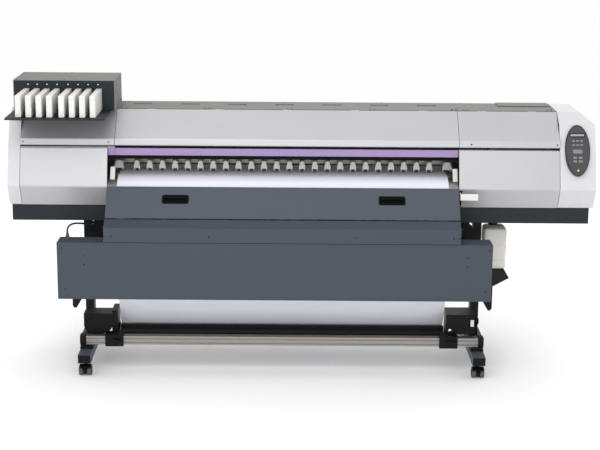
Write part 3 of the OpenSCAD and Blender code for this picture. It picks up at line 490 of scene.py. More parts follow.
def finish(name):
    """The material of that name, made the first time that it is asked for."""
    makers = {maker.__name__: maker for maker in FINISHES}
    return bpy.data.materials.get(name) or makers[name]()


# ---- Shapes ----


def box(node):
    """A CAD node's lowest and highest corners and its middle, in millimetres."""
    low, high = (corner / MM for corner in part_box(node))
    return SimpleNamespace(low=low, high=high, mid=(low + high) / 2)


def facing(point, normal, up=(0, 0, 1)):
    """The placement whose local Z points along normal at a point, with its local Y near up."""
    z = Vector(normal).normalized()
    x = Vector(up).cross(z)
    if x.length < 1e-6:
        x = Vector((0, 1, 0)).cross(z)
    x.normalize()
    turn = Matrix((x, z.cross(x), z)).transposed().to_4x4()
    return Matrix.Translation(Vector(point)) @ turn


def along_x(x):
    """The placement that draws an outline of (Y, Z) points at that X, with its height along X."""
    return Matrix.Translation((x, 0, 0)) @ Matrix(((0, 0, 1, 0), (1, 0, 0, 0), (0, 1, 0, 0), (0, 0, 0, 1)))


def rounded(width, height, radius, steps=4):
    """A rounded rectangle about the origin, anticlockwise."""
    points = []
    for sx, sy, start in ((1, 1, 0), (-1, 1, 90), (-1, -1, 180), (1, -1, 270)):
        for i in range(steps + 1):
            a = math.radians(start + 90 * i / steps)
            points.append((sx * (width / 2 - radius) + radius * math.cos(a),
                           sy * (height / 2 - radius) + radius * math.sin(a)))
    return points


def oval(a, b, steps=48):
    """An ellipse about the origin, anticlockwise, from its half axes."""
    turns = [2 * math.pi * i / steps for i in range(steps)]
    return [(a * math.cos(t), b * math.sin(t)) for t in turns]


def loft(bm, rings, place=Matrix(), hollow=False):
    """Skins a stack of rings of (x, y, z) points, closing its ends, or joining them if hollow."""
    rows = [[bm.verts.new(place @ Vector(p)) for p in ring] for ring in rings]
    for a, b in zip(rows, rows[1:] + ([rows[0]] if hollow else [])):
        for i, corner in enumerate(a):
            j = (i + 1) % len(a)
            bm.faces.new((corner, a[j], b[j], b[i]))
    if not hollow:
        bm.faces.new(rows[0][::-1])
        bm.faces.new(rows[-1])


def level(outline, height):
    return [(x, y, height) for x, y in outline]


def slab(bm, outline, low, high, place=Matrix()):
    """An outline extruded from low to high."""
    loft(bm, [level(outline, low), level(outline, high)], place)


def hoop(bm, outer, inner, low, high, place=Matrix()):
    """A wall between two outlines of as many points, from low to high."""
    loft(bm, [level(outer, low), level(outer, high), level(inner, high), level(inner, low)],
         place, hollow=True)


def turned(bm, profile, place=Matrix(), steps=32):
    """A turned part from its (radius, height) profile."""
    loft(bm, [level(oval(r, r, steps), h) for r, h in profile], place)


def block(bm, low, high):
    """A block between two corners."""
    (x0, y0, z0), (x1, y1, z1) = low, high
    slab(bm, [(x0, y0), (x1, y0), (x1, y1), (x0, y1)], z0, z1)


def shown(name, mesh, body, look, bevel=0.0, stands_for=()):
    """Links a finished mesh as a piece that rides on a body and stands for CAD nodes, if any."""
    mesh.materials.clear()
    mesh.materials.append(finish(look))
    mesh.shade_smooth()
    mesh.set_sharp_from_angle(angle=math.radians(35))
    piece = bpy.data.objects.new(name, mesh)
    bpy.context.scene.collection.objects.link(piece)
    if bevel:
        edges = piece.modifiers.new("edges", "BEVEL")
        edges.width = bevel * MM
        edges.segments = 2
        edges.limit_method = "ANGLE"
        edges.angle_limit = math.radians(35)
        edges.harden_normals = True
    if stands_for:
        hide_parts(*stands_for)
    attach(piece, body)
    return piece


def solid(name, bm, body, look, bevel=0.0, stands_for=()):
    """Turns closed shells drawn in bm into a piece. bevel is the edges' radius in millimetres."""
    bmesh.ops.remove_doubles(bm, verts=bm.verts, dist=0.001)
    bmesh.ops.recalc_face_normals(bm, faces=bm.faces)
    bm.transform(Matrix.Scale(MM, 4))
    mesh = bpy.data.meshes.new(name)
    bm.to_mesh(mesh)
    bm.free()
    return shown(name, mesh, body, look, bevel, stands_for)


# ---- Geometry Nodes ----


def node_tree(name, sockets):
    """An empty Geometry Nodes tree with named inputs, its input node and its output node."""
    tree = bpy.data.node_groups.new(name, "GeometryNodeTree")
    tree.interface.new_socket("Geometry", in_out="INPUT", socket_type="NodeSocketGeometry")
    for label, kind in sockets:
        tree.interface.new_socket(label, in_out="INPUT", socket_type=kind)
    tree.interface.new_socket("Geometry", in_out="OUTPUT", socket_type="NodeSocketGeometry")
    return tree, add(tree, "NodeGroupInput"), add(tree, "NodeGroupOutput")


def close_tree(tree, instances, given, end):
    """Ends a tree by making its instances real and giving them their material."""
    real = add(tree, "GeometryNodeRealizeInstances", {"Geometry": instances})
    dressed = add(tree, "GeometryNodeSetMaterial",
                  {"Geometry": real.outputs["Geometry"], "Material": given.outputs["Material"]})
    tree.links.new(dressed.outputs["Geometry"], end.inputs["Geometry"])
    return tree


def fastener_tree():
    """Puts a head on every point, along the point's own normal, each with its recess turned."""
    tree, given, end = node_tree("fasteners", (
        ("Head", "NodeSocketObject"), ("Radius", "NodeSocketFloat"), ("Seed", "NodeSocketInt"),
        ("Material", "NodeSocketMaterial")))
    head = add(tree, "GeometryNodeObjectInfo", {"Object": given.outputs["Head"]})
    normal = add(tree, "GeometryNodeInputNamedAttribute", {"Name": "out"}, data_type="FLOAT_VECTOR")
    upright = add(tree, "FunctionNodeAlignRotationToVector",
                  {"Vector": normal.outputs["Attribute"]}, axis="Z")
    spin = add(tree, "FunctionNodeRandomValue",
               {2: 0.0, 3: math.tau, "Seed": given.outputs["Seed"]}, data_type="FLOAT")
    about = add(tree, "FunctionNodeAxisAngleToRotation",
                {"Axis": (0.0, 0.0, 1.0), "Angle": spin.outputs[1]})
    turn = add(tree, "FunctionNodeRotateRotation",
               {"Rotation": upright.outputs["Rotation"], "Rotate By": about.outputs["Rotation"]},
               rotation_space="LOCAL")
    heads = add(tree, "GeometryNodeInstanceOnPoints",
                {"Points": given.outputs["Geometry"], "Instance": head.outputs["Geometry"],
                 "Rotation": turn.outputs["Rotation"], "Scale": given.outputs["Radius"]})
    return close_tree(tree, heads.outputs["Instances"], given, end)


def row_tree():
    """Repeats a bar from every point of its host along one direction."""
    tree, given, end = node_tree("rows_of_bars", (
        ("Count", "NodeSocketInt"), ("Step", "NodeSocketVector"), ("Bar", "NodeSocketVector"),
        ("Tilt", "NodeSocketRotation"), ("Material", "NodeSocketMaterial")))
    bar = add(tree, "GeometryNodeMeshCube", {"Size": given.outputs["Bar"]})
    line = add(tree, "GeometryNodeMeshLine",
               {"Count": given.outputs["Count"], "Offset": given.outputs["Step"]}, mode="OFFSET")
    row = add(tree, "GeometryNodeInstanceOnPoints",
              {"Points": line.outputs["Mesh"], "Instance": bar.outputs["Mesh"],
               "Rotation": given.outputs["Tilt"]})
    rows = add(tree, "GeometryNodeInstanceOnPoints",
               {"Points": given.outputs["Geometry"], "Instance": row.outputs["Instances"]})
    return close_tree(tree, rows.outputs["Instances"], given, end)


def ring_tree():
    """Sets bars round every point of its host, in a circle about the X axis."""
    tree, given, end = node_tree("rings_of_bars", (
        ("Count", "NodeSocketInt"), ("Radius", "NodeSocketFloat"), ("Bar", "NodeSocketVector"),
        ("Material", "NodeSocketMaterial")))
    bar = add(tree, "GeometryNodeMeshCube", {"Size": given.outputs["Bar"]})
    circle = add(tree, "GeometryNodeMeshCircle",
                 {"Vertices": given.outputs["Count"], "Radius": given.outputs["Radius"]})
    spot = add(tree, "GeometryNodeInputPosition")
    outward = add(tree, "FunctionNodeAlignRotationToVector", {"Vector": spot.outputs["Position"]}, axis="X")
    ring = add(tree, "GeometryNodeInstanceOnPoints",
               {"Points": circle.outputs["Mesh"], "Instance": bar.outputs["Mesh"],
                "Rotation": outward.outputs["Rotation"]})
    rings = add(tree, "GeometryNodeInstanceOnPoints",
                {"Points": given.outputs["Geometry"], "Instance": ring.outputs["Instances"],
                 "Rotation": (0.0, math.pi / 2, 0.0)})
    return close_tree(tree, rings.outputs["Instances"], given, end)


def grown(tree, points, normals=None, **inputs):
    """The plain mesh that a tree makes on some points in millimetres, its inputs set by name."""
    host_mesh = bpy.data.meshes.new("host")
    host_mesh.from_pydata([tuple(Vector(p) * MM) for p in points], [], [])
    if normals:
        out = host_mesh.attributes.new("out", "FLOAT_VECTOR", "POINT")
        out.data.foreach_set("vector", [c for n in normals for c in n])
    host = bpy.data.objects.new("host", host_mesh)
    bpy.context.scene.collection.objects.link(host)
    growth = host.modifiers.new("growth", "NODES")
    growth.node_group = tree
    sockets = {s.name: s.identifier for s in tree.interface.items_tree if s.in_out == "INPUT"}
    for label, value in inputs.items():
        growth[sockets[label]] = value
    bpy.context.view_layer.update()
    depsgraph = bpy.context.evaluated_depsgraph_get()
    mesh = bpy.data.meshes.new_from_object(host.evaluated_get(depsgraph))
    bpy.data.objects.remove(host)
    bpy.data.meshes.remove(host_mesh)
    return mesh


def screw_head():
    """A low domed head of radius 1 about its seat, with a hexagon recess."""
    corners = 12
    bm = bmesh.new()
    hexagon = [(0.42 * math.cos(math.tau * i / corners) * (1 if i % 2 == 0 else 0.92),
                0.42 * math.sin(math.tau * i / corners) * (1 if i % 2 == 0 else 0.92))
               for i in range(corners)]
    wide, brow = oval(1, 1, corners), oval(0.82, 0.82, corners)
    loft(bm, [level(wide, -0.2), level(wide, 0.22), level(brow, 0.48), level(hexagon, 0.58),
              level(hexagon, 0.2)])
    mesh = bpy.data.meshes.new("screw_head")
    bm.to_mesh(mesh)
    bm.free()
    head = bpy.data.objects.new("screw_head", mesh)
    bpy.context.scene.collection.objects.link(head)
    return head


def fasteners(name, places, radius, body, look, stands_for=(), seed=7):
    """One piece with a screw head at each (point, normal)."""
    head = screw_head()
    mesh = grown(fastener_tree(), [p for p, _ in places], [tuple(n) for _, n in places],
                 Head=head, Radius=radius, Seed=seed, Material=finish(look))
    bpy.data.objects.remove(head)
    mesh.name = name
    return shown(name, mesh, body, look, stands_for=stands_for)


def islands(node):
    """The middle of each separate solid of a CAD node, in millimetres."""
    bm = bmesh.new()
    bm.from_mesh(frame["nodes"][node].data)
    bmesh.ops.remove_doubles(bm, verts=bm.verts, dist=0.01 * MM)
    bm.verts.ensure_lookup_table()
    left, middles = set(bm.verts), []
    while left:
        group, todo = [], [left.pop()]
        while todo:
            vert = todo.pop()
            group.append(vert.co.copy())
            for edge in vert.link_edges:
                other = edge.other_vert(vert)
                if other in left:
                    left.remove(other)
                    todo.append(other)
        low = Vector(min(p[k] for p in group) for k in range(3))
        high = Vector(max(p[k] for p in group) for k in range(3))
        middles.append((low + high) / 2 / MM)
    bm.free()
    return sorted(middles, key=lambda p: (round(p.x, 4), round(p.z, 4)))


# ---- Stage, cable and finishes ----

CABLE_ROUTE = (
    (-1102, -330, 707), (-1102, -330, 720), (-1099, -326, 731), (-1092, -316, 739),
    (-1082, -300, 742), (-1072, -278, 740), (-1062, -252, 734), (-1052, -224, 727),
    (-1042, -194, 719), (-1032, -164, 712), (-1022, -134, 706), (-1012, -108, 704),
    (-1004, -90, 707), (-1001, -82, 712), (-1000, -79, 718), (-1000, -79, 725),
)
OUT_LIP = (0, -0.987, 0.159)
FRONT, BACK, LEFT, RIGHT, UP = (0, -1, 0), (0, 1, 0), (-1, 0, 0), (1, 0, 0), (0, 0, 1)


class BuildStage(bpy.types.Operator):
    """Sets the camera, the floor and the studio light"""

    bl_idname = "roll_printer.stage"
    bl_label = "Stage"

    def execute(self, context):
        given, scene = stage_settings(), context.scene
        camera_data = bpy.data.cameras.new("camera")
        camera_data.lens = given.lens
        camera_data.sensor_width = 36
        camera_data.shift_x = given.shift
        camera = bpy.data.objects.new("camera", camera_data)
        camera.matrix_world = (Matrix.Translation(given.camera_at)
                               @ Matrix.Rotation(given.camera_tilt, 4, "X")
                               @ Matrix.Rotation(given.camera_roll, 4, "Z"))
        scene.collection.objects.link(camera)
        scene.camera = camera
        scene.view_settings.view_transform = "Standard"
        self.light("key_light", (-1.2, -4.5, 4.6), 5.0, given.key_power)
        self.light("fill_light", (0, -6, 0.9), 3.0, given.fill_power)
        self.light("back_light", (0.8, 3.6, 4.2), 4.0, given.rim_power)
        self.floor()
        world = bpy.data.worlds.new("studio")
        world.use_nodes = True
        sky = world.node_tree.nodes["Background"]
        sky.inputs["Color"].default_value = (1.0, 1.0, 1.0, 1.0)
        sky.inputs["Strength"].default_value = given.sky_strength
        scene.world = world
        return {"FINISHED"}

    def light(self, name, place, size, power):
        """An area light that looks at the middle of the object."""
        data = bpy.data.lights.new(name, "AREA")
        data.shape = "DISK"
        data.size = size
        data.energy = power
        lamp = bpy.data.objects.new(name, data)
        toward = Vector((0, 0, 0.7)) - Vector(place)
        lamp.matrix_world = Matrix.Translation(place) @ toward.to_track_quat("-Z", "Y").to_matrix().to_4x4()
        bpy.context.scene.collection.objects.link(lamp)

    def floor(self):
        half = 90
        mesh = bpy.data.meshes.new("studio_floor")
        mesh.from_pydata([(-half, -half, 0), (half, -half, 0), (half, half, 0), (-half, half, 0)], [],
                         [(0, 1, 2, 3)])
        made, tree, shader, place = blank("studio_floor")
        noise = add(tree, "ShaderNodeTexNoise", {"Vector": place, "Scale": 2.0})
        colour = stage_settings().floor_colour
        tint = add(tree, "ShaderNodeMix",
                   {"Factor": noise.outputs["Fac"], 6: shade(colour, 0.99), 7: shade(colour, 1.0)},
                   data_type="RGBA")
        tree.links.new(tint.outputs[2], shader.inputs["Base Color"])
        shader.inputs["Roughness"].default_value = 0.9
        mesh.materials.append(made)
        floor = bpy.data.objects.new("studio_floor", mesh)
        bpy.context.scene.collection.objects.link(floor)


class BuildCable(bpy.types.Operator):
    """Runs the dryer's cable from its boot to the chassis"""

    bl_idname = "roll_printer.cable"
    bl_label = "Dryer cable"

    def execute(self, context):
        boot = self.boot()
        route = [Vector(p) * MM for p in CABLE_ROUTE]
        line = bpy.data.curves.new("cable_jacket", "CURVE")
        line.dimensions = "3D"
        line.bevel_depth = detail_settings().cable_diameter / 2
        line.bevel_resolution = 4
        line.use_fill_caps = True
        spline = line.splines.new("POLY")
        path = self.smooth(route, 5)
        spline.points.add(len(path) - 1)
        for point, p in zip(spline.points, path):
            point.co = (*p, 1)
        line.materials.append(finish("cable_pvc"))
        jacket = bpy.data.objects.new("cable_jacket", line)
        context.scene.collection.objects.link(jacket)
        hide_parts("dryer_cable")
        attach(jacket, "frame")
        return {"FINISHED"}

    def boot(self):
        """A ribbed rubber boot that keeps the cable from bending sharply at the case."""
        gland = box("cable_gland")
        profile = [(13, 0), (13, 6), (11.5, 8)]
        for i in range(4):
            h, r = 9 + 4.6 * i, 9.8 - 0.9 * i
            profile += [(r - 1.4, h), (r, h + 0.8), (r, h + 2.8), (r - 1.4, h + 3.6)]
        profile += [(6, 28), (5.6, 30)]
        bm = bmesh.new()
        turned(bm, profile, Matrix.Translation((gland.mid.x, gland.mid.y, gland.low.z)))
        return solid("cable_boot", bm, "frame", "rubber", stands_for=("cable_gland",))

    def smooth(self, points, steps):
        """A rounded line through the points."""
        line = []
        for i in range(len(points) - 1):
            a, b = points[max(i - 1, 0)], points[i]
            c, d = points[i + 1], points[min(i + 2, len(points) - 1)]
            for k in range(steps):
                t = k / steps
                line.append(0.5 * (2 * b + (c - a) * t + (2 * a - 5 * b + 4 * c - d) * t * t
                                   + (3 * b - a - 3 * c + d) * t ** 3))
        return line + [points[-1]]


class DressNodes(bpy.types.Operator):
    """Gives every CAD node the finish of its material slot"""

    bl_idname = "roll_printer.finishes"
    bl_label = "Finishes"

    OWN_FINISH = {"control_panel": "bezel_abs", "cover_screws": "oxide_steel",
                  "stand_foot_left": "panel_powder_coat", "stand_foot_right": "panel_powder_coat"}

    def execute(self, context):
        for node, shape in frame["nodes"].items():
            look = self.OWN_FINISH.get(node, FINISH_OF_SLOT[SLOT_OF[node]])
            shape.data.materials.clear()
            shape.data.materials.append(finish(look))
        return {"FINISHED"}


# ---- Print zone ----


class BuildWindowRails(bpy.types.Operator):
    """Edges the window with dead black rails that open with the front cover, the top one painted shade in
    the gap under the lip, and adds its still end
    """

    bl_idname = "roll_printer.window_rails"
    bl_label = "Window rails"

    def execute(self, context):
        pane = box("front_window")
        bm = bmesh.new()
        place = along_x(pane.low.x)
        wide = pane.high.x - pane.low.x
        slab(bm, [(-147.5, 1028), (-139, 1028), (-139, 1044), (-146.5, 1044)], 0, wide, place)
        # The top rail is painted shade: dead black in the gap between the lip and the window
        slab(bm, [(-150, 1081), (-147.6, 1080), (-148.2, 1091), (-150.4, 1091)], 0, wide, place)
        solid("window_rails", bm, "front_cover", "black_and_painted_shade", bevel=0.8)
        self.fixed_end(pane)
        return {"FINISHED"}

    def fixed_end(self, pane):
        """The still part of the window beside the cover's edge, and a dead black strip of painted shade in
        the gap under the lip.
        """
        low = box("platen").low.x
        bm = bmesh.new()
        slab(bm, [(-147, 1088), (-142, 1030), (-138, 1030), (-143, 1088)],
             low + 1, pane.low.x - 1.5, along_x(0))
        solid("window_end", bm, "frame", "tinted_acrylic", bevel=0.4)
        bm = bmesh.new()
        slab(bm, [(-147, 1028), (-139, 1028), (-139, 1044), (-146.5, 1044)],
             low + 1, pane.low.x - 1.5, along_x(0))
        left = box("left_side_cover").low.x
        # Painted shade: a dead black strip in the gap under the lip
        slab(bm, [(-147.2, 1085), (-145.8, 1085), (-145.8, 1091), (-147.2, 1091)],
             left + 1, low, along_x(0))
        solid("lip_shadow_gap", bm, "frame", "black_and_painted_shade", bevel=0.3)


class BuildOpening(bpy.types.Operator):
    """Lines the ends of the print opening with dead black walls of painted shade, and adds its white edge
    guards and rear baffle
    """

    bl_idname = "roll_printer.opening"
    bl_label = "Opening ends"

    def execute(self, context):
        bed = box("platen")
        # The end walls are dead black: painted shade deep in the opening's ends
        wall = [(-151, 1078), (-204, 903), (-151, 808), (-80, 808), (-80, 928), (-137, 928), (-137, 1078)]
        bm = bmesh.new()
        for x in (bed.low.x - 4, bed.high.x + 2):
            slab(bm, wall, 0, 2, along_x(x))
        solid("opening_ends", bm, "frame", "black_and_painted_shade", bevel=0.4)
        guide = [(-168, 934), (-163, 932), (-136.8, 984), (-141, 988)]
        bm = bmesh.new()
        for x in (bed.low.x + 11, bed.high.x - 25):
            slab(bm, guide, 0, 23, along_x(x))
            slab(bm, [(-170, 926), (-160, 926), (-163, 934), (-168, 934)], 0, 23, along_x(x))
        solid("edge_guards", bm, "frame", "white_abs", bevel=1.2)
        bm = bmesh.new()
        baffle = [(78, 1045), (78, 966), (72, 961), (73.2, 959.6), (80, 965), (80, 1045)]
        slab(bm, baffle, bed.low.x + 10, bed.high.x - 10, along_x(0))
        solid("media_baffle", bm, "frame", "anodised_aluminium", bevel=0.4)
        return {"FINISHED"}


class BuildPinchDetails(bpy.types.Operator):
    """Adds springs and pivot clips to the pinch arms"""

    bl_idname = "roll_printer.pinch_details"
    bl_label = "Pinch arm details"

    COUNT = 24
    PITCH = 61.7

    def execute(self, context):
        middle = box("platen").mid.x
        coil = [(4.6, 0), (4.6, 1.2)]
        bm, clips = bmesh.new(), bmesh.new()
        for i in range(self.COUNT):
            x = middle + (i - (self.COUNT - 1) / 2) * self.PITCH
            for turn in range(6):
                turned(bm, coil, Matrix.Translation((x, 20, 1008 + 3.6 * turn)), steps=12)
            turned(clips, [(8.4, 0), (9.4, 0.8), (9.4, 4.2), (8.4, 5)],
                   facing((x + 13, 45, 1000), RIGHT), steps=16)
        solid("pinch_springs", bm, "pinch_arms", "ground_steel")
        solid("pinch_pivot_clips", clips, "pinch_arms", "black_abs")
        return {"FINISHED"}


class BuildCarriage(bpy.types.Operator):
    """Adds the carriage's front plate and the drive belt above its beam"""

    bl_idname = "roll_printer.carriage"
    bl_label = "Carriage"

    def execute(self, context):
        cover = box("print_carriage")
        middle, front = cover.mid.x, cover.low.y
        place = facing((middle, front, 1030), FRONT)
        bm = bmesh.new()
        slab(bm, rounded(276, 104, 10), -1, 1.3, place)
        for i in range(5):
            slab(bm, rounded(90, 3, 1.4, 2), 1, 2.0, place @ Matrix.Translation((0, -34 + 7 * i, 0)))
        solid("carriage_fascia", bm, "print_carriage", "carriage_abs", bevel=0.5)
        self.belt()
        return {"FINISHED"}

    def belt(self):
        beam = box("guide_beam")
        z, y, r = beam.high.z + 3, 12, 14
        ends = (beam.low.x + 60, beam.high.x - 60)
        bm = bmesh.new()
        loop, inner = self.belt_line(ends, y, r), self.belt_line(ends, y, r - 1.6)
        hoop(bm, loop, inner, z, z + 10)
        solid("drive_belt", bm, "frame", "rubber")
        bm = bmesh.new()
        for x in ends:
            turned(bm, [(5, -2.8), (15.5, -2.8), (15.5, -1), (12.2, -0.5), (12.2, 10.5), (15.5, 11),
                        (15.5, 13), (5, 13), (4, 16)], Matrix.Translation((x, y, z)))
        solid("belt_pulleys", bm, "frame", "ground_steel")

    def belt_line(self, ends, y, radius):
        """The run round two pulleys, from the front of the right one anticlockwise."""
        return [(x + radius * math.cos(math.radians(a)), y + radius * math.sin(math.radians(a)))
                for x, start in ((ends[1], -90), (ends[0], 90)) for a in range(start, start + 181, 15)]


# ---- Front ----


class BuildHandles(bpy.types.Operator):
    """Lines the two hand pockets of the service panel in dead black: their black liners, with painted shade
    deep in the pockets
    """

    bl_idname = "roll_printer.handles"
    bl_label = "Panel handles"

    def execute(self, context):
        bm = bmesh.new()
        for x in (-597.5, 426.5):
            place = facing((x, -266.4, 857), (0, -0.775, 0.632))
            # Dead black: the liner's own black plastic, with painted shade on the pocket's walls and floor
            hoop(bm, rounded(115.4, 35.4, 5), rounded(109, 29, 4), -11.7, 0.6, place)
            hoop(bm, rounded(127, 47, 10), rounded(109, 29, 4), 0.15, 1.6, place)
            slab(bm, rounded(115, 35, 5), -11.8, -10.8, place)
            slab(bm, rounded(109, 9, 2), -3.5, 0.4, place @ Matrix.Translation((0, 10.2, 0)))
        solid("handle_liners", bm, "service_panel", "black_and_painted_shade", bevel=0.6)
        return {"FINISHED"}


class BuildControls(bpy.types.Operator):
    """Adds the control panel's rim, display, keys and lamp"""

    bl_idname = "roll_printer.controls"
    bl_label = "Control panel"

    def execute(self, context):
        place = Matrix.Translation((1311.5, -150, 1081)) @ Matrix.Rotation(math.radians(66.3), 4, "X")
        bm = bmesh.new()
        hoop(bm, oval(58.4, 124.4, 64), oval(55.4, 121.4, 64), 11, 13.4, place)
        hoop(bm, rounded(73, 20, 4), rounded(64, 11, 1.5), 11.6, 13.4,
             place @ Matrix.Translation((0, 74, 0)))
        solid("control_rim", bm, "frame", "black_abs", bevel=0.7)
        bm = bmesh.new()
        slab(bm, rounded(65, 12, 1.5), 11.8, 12.5, place @ Matrix.Translation((0, 74, 0)))
        solid("display", bm, "frame", "display_glass")
        bm = bmesh.new()
        turned(bm, [(4.2, 11.8), (4.2, 12.6), (3.4, 13.6), (1.8, 14.2)],
               place @ Matrix.Translation((0, -98, 0)), steps=24)
        solid("ready_lamp", bm, "frame", "green_lens")
        self.keys(place)
        return {"FINISHED"}

    def keys(self, place):
        keys = [(19 * col, row, 13, 9) for row in (46, 26) for col in (-1, 0, 1)]
        keys += [(26 * col, row, 19, 11) for row in (-36, -54) for col in (-0.5, 0.5)]
        bm = bmesh.new()
        for x, y, w, h in keys:
            rings = ((0, 2.0, 2), (0, 13.0, 2), (0.7, 13.7, 1.8), (2.0, 14.1, 1.4))
            loft(bm, [level(rounded(w - 2 * inset, h - 2 * inset, r), z) for inset, z, r in rings],
                 place @ Matrix.Translation((x, y, 0)))
        pad = place @ Matrix.Translation((0, -6, 0))
        loft(bm, [level(rounded(46 - 2 * d, 20 - 2 * d, 4), z)
                  for d, z in ((0, 2), (0, 13), (0.8, 13.8))], pad)
        for turn, reach in ((0, 16), (90, 5.5), (180, 16), (270, 5.5)):
            arm = pad @ Matrix.Rotation(math.radians(turn), 4, "Z") @ Matrix.Translation((reach, 0, 0))
            slab(bm, [(-1.6, -2.4), (2.0, 0), (-1.6, 2.4)], 13.6, 14.4, arm)
        solid("key_caps", bm, "keypad", "key_rubber", bevel=0.3, stands_for=("keypad",))


class BuildRack(bpy.types.Operator):
    """Adds the ink rack's lamps, tray ribs and bracket"""

    bl_idname = "roll_printer.rack"
    bl_label = "Ink rack"

    LAMPS = (-1304, -1261, -1214, -1166, -1114, -1067, -1019, -972)

    def execute(self, context):
        cover = box("ink_rack_cover")
        bm, rims = bmesh.new(), bmesh.new()
        for x in self.LAMPS:
            place = facing((x, -100, 1376), FRONT)
            slab(bm, rounded(7, 5, 1.5), -0.5, 1.2, place)
            hoop(rims, rounded(10, 8, 2.4), rounded(7, 5, 1.5), -0.5, 0.8, place)
        solid("slot_lamps", bm, "frame", "pale_lens", bevel=0.3)
        solid("slot_lamp_rims", rims, "frame", "black_abs")
        bm = bmesh.new()
        for i in range(1, 8):
            x = box(f"ink_cartridge_{i}").high.x
            gap = box(f"ink_cartridge_{i + 1}").low.x - x
            block(bm, (x + gap / 2 - 1, -360, TOP_Z + 3.8), (x + gap / 2 + 1, -104, TOP_Z + 8))
        solid("tray_ribs", bm, "frame", "charcoal_powder_coat", bevel=0.5)
        bm = bmesh.new()
        edge = cover.high.x
        block(bm, (edge + 0.2, 5, TOP_Z), (edge + 2.2, 180, TOP_Z + 24))
        block(bm, (edge + 0.2, 5, TOP_Z), (edge + 22, 180, TOP_Z + 2.2))
        solid("rack_bracket", bm, "frame", "warm_grey_powder_coat", bevel=0.6)
        return {"FINISHED"}


class BuildCartridges(bpy.types.Operator):
    """Builds the eight ink cartridges"""

    bl_idname = "roll_printer.cartridges"
    bl_label = "Ink cartridges"

    def execute(self, context):
        for i in range(1, 9):
            node = f"ink_cartridge_{i}"
            shell = box(node)
            w, h = shell.high.x - shell.low.x, shell.high.z - shell.low.z
            front = -shell.low.y
            place = facing((shell.mid.x, 0, shell.mid.z), FRONT)
            bm = bmesh.new()
            loft(bm, [level(rounded(w - d, h - d, 3), z)
                      for d, z in ((3, -shell.high.y), (0, 3 - shell.high.y), (0, front - 15),
                                   (1.5, front - 14.2), (1.5, front - 12.8), (0, front - 12),
                                   (0, front - 2), (3, front))], place)
            slab(bm, rounded(w - 9, h * 0.5, 2), front - 1, front + 0.8,
                 place @ Matrix.Translation((0, -h * 0.12, 0)))
            slab(bm, rounded(w - 12, 5, 2), front - 1, front + 1.4,
                 place @ Matrix.Translation((0, h * 0.36, 0)))
            for k in range(5):
                slab(bm, rounded(w - 8, 1.2, 0.5, 2), front - 40 + 4 * k, front - 38 + 4 * k,
                     place @ Matrix.Translation((0, h / 2 + 0.2, 0)))
            solid(f"cartridge_shell_{i}", bm, node, "white_abs", bevel=0.3, stands_for=(node,))
        return {"FINISHED"}


class BuildBottle(bpy.types.Operator):
    """Builds the waste bottle and the drain tube above it"""

    bl_idname = "roll_printer.bottle"
    bl_label = "Waste bottle"

    def execute(self, context):
        shell = box("waste_bottle")
        x, y, z = shell.mid.x, shell.mid.y, shell.low.z
        w, d = shell.high.x - shell.low.x, shell.high.y - shell.low.y
        neck = x - 8
        levels = [(0, 12), (3, 3), (9, 0), (44, 0), (47, 2.4), (53, 2.4), (56, 0), (120, 0), (123, 2.4),
                  (129, 2.4), (132, 0), (190, 0), (200, 3), (207, 12), (211, 30)]
        rings = [[(px + x, py + y, z + h) for px, py in rounded(w - 2 * i, d - 2 * i, 16, 5)]
                 for h, i in levels]
        mouth = [(21, 212), (19.5, 214), (19.5, 226), (21, 227), (21, 228)]
        rings += [[(px + neck, py + y, z + h) for px, py in rounded(2 * r, 2 * r, r - 0.01, 5)]
                  for r, h in mouth]
        bm = bmesh.new()
        loft(bm, rings)
        solid("bottle_shell", bm, "waste_bottle", "blown_polyethylene", stands_for=("waste_bottle",))
        bm = bmesh.new()
        hoop(bm, oval(23.5, 23.5, 32), oval(19.6, 19.6, 32), z + 214, z + 225,
             Matrix.Translation((neck, y, 0)))
        solid("bottle_collar", bm, "waste_bottle", "black_abs", bevel=0.8)
        bm = bmesh.new()
        turned(bm, [(6, 701), (8, 703), (8, 712), (11, 716), (14, 724.5)], Matrix.Translation((neck, y, 0)))
        solid("drain_tube", bm, "frame", "rubber")
        return {"FINISHED"}


class BuildDryer(bpy.types.Operator):
    """Adds the dryer's folded hems and its end plates"""

    bl_idname = "roll_printer.dryer"
    bl_label = "Dryer"

    def execute(self, context):
        case = box("dryer_case")
        x0, x1, front, back = case.low.x, case.high.x, case.low.y, case.high.y
        bm = bmesh.new()
        block(bm, (x0 + 3, front - 1.2, case.low.z), (x1 - 3, front + 1, case.low.z + 7))
        block(bm, (x0 + 3, front - 1.2, case.high.z - 7), (x1 - 3, front + 1, case.high.z))
        for x in (x0 - 1.2, x1 - 1):
            block(bm, (x, front + 1, case.low.z + 1), (x + 2.2, back - 1, case.high.z - 1))
        solid("dryer_hems", bm, "frame", "dryer_powder_coat", bevel=0.6)
        bm = bmesh.new()
        for x in (x0 + 42, x1 - 42, (x0 + x1) / 2):
            slab(bm, rounded(70, 16, 6), 0, 2.5, facing((x, back, case.low.z + 25), BACK))
        solid("dryer_mounting_pads", bm, "frame", "stand_powder_coat", bevel=0.5)
        return {"FINISHED"}


# ---- Take-up and stand ----


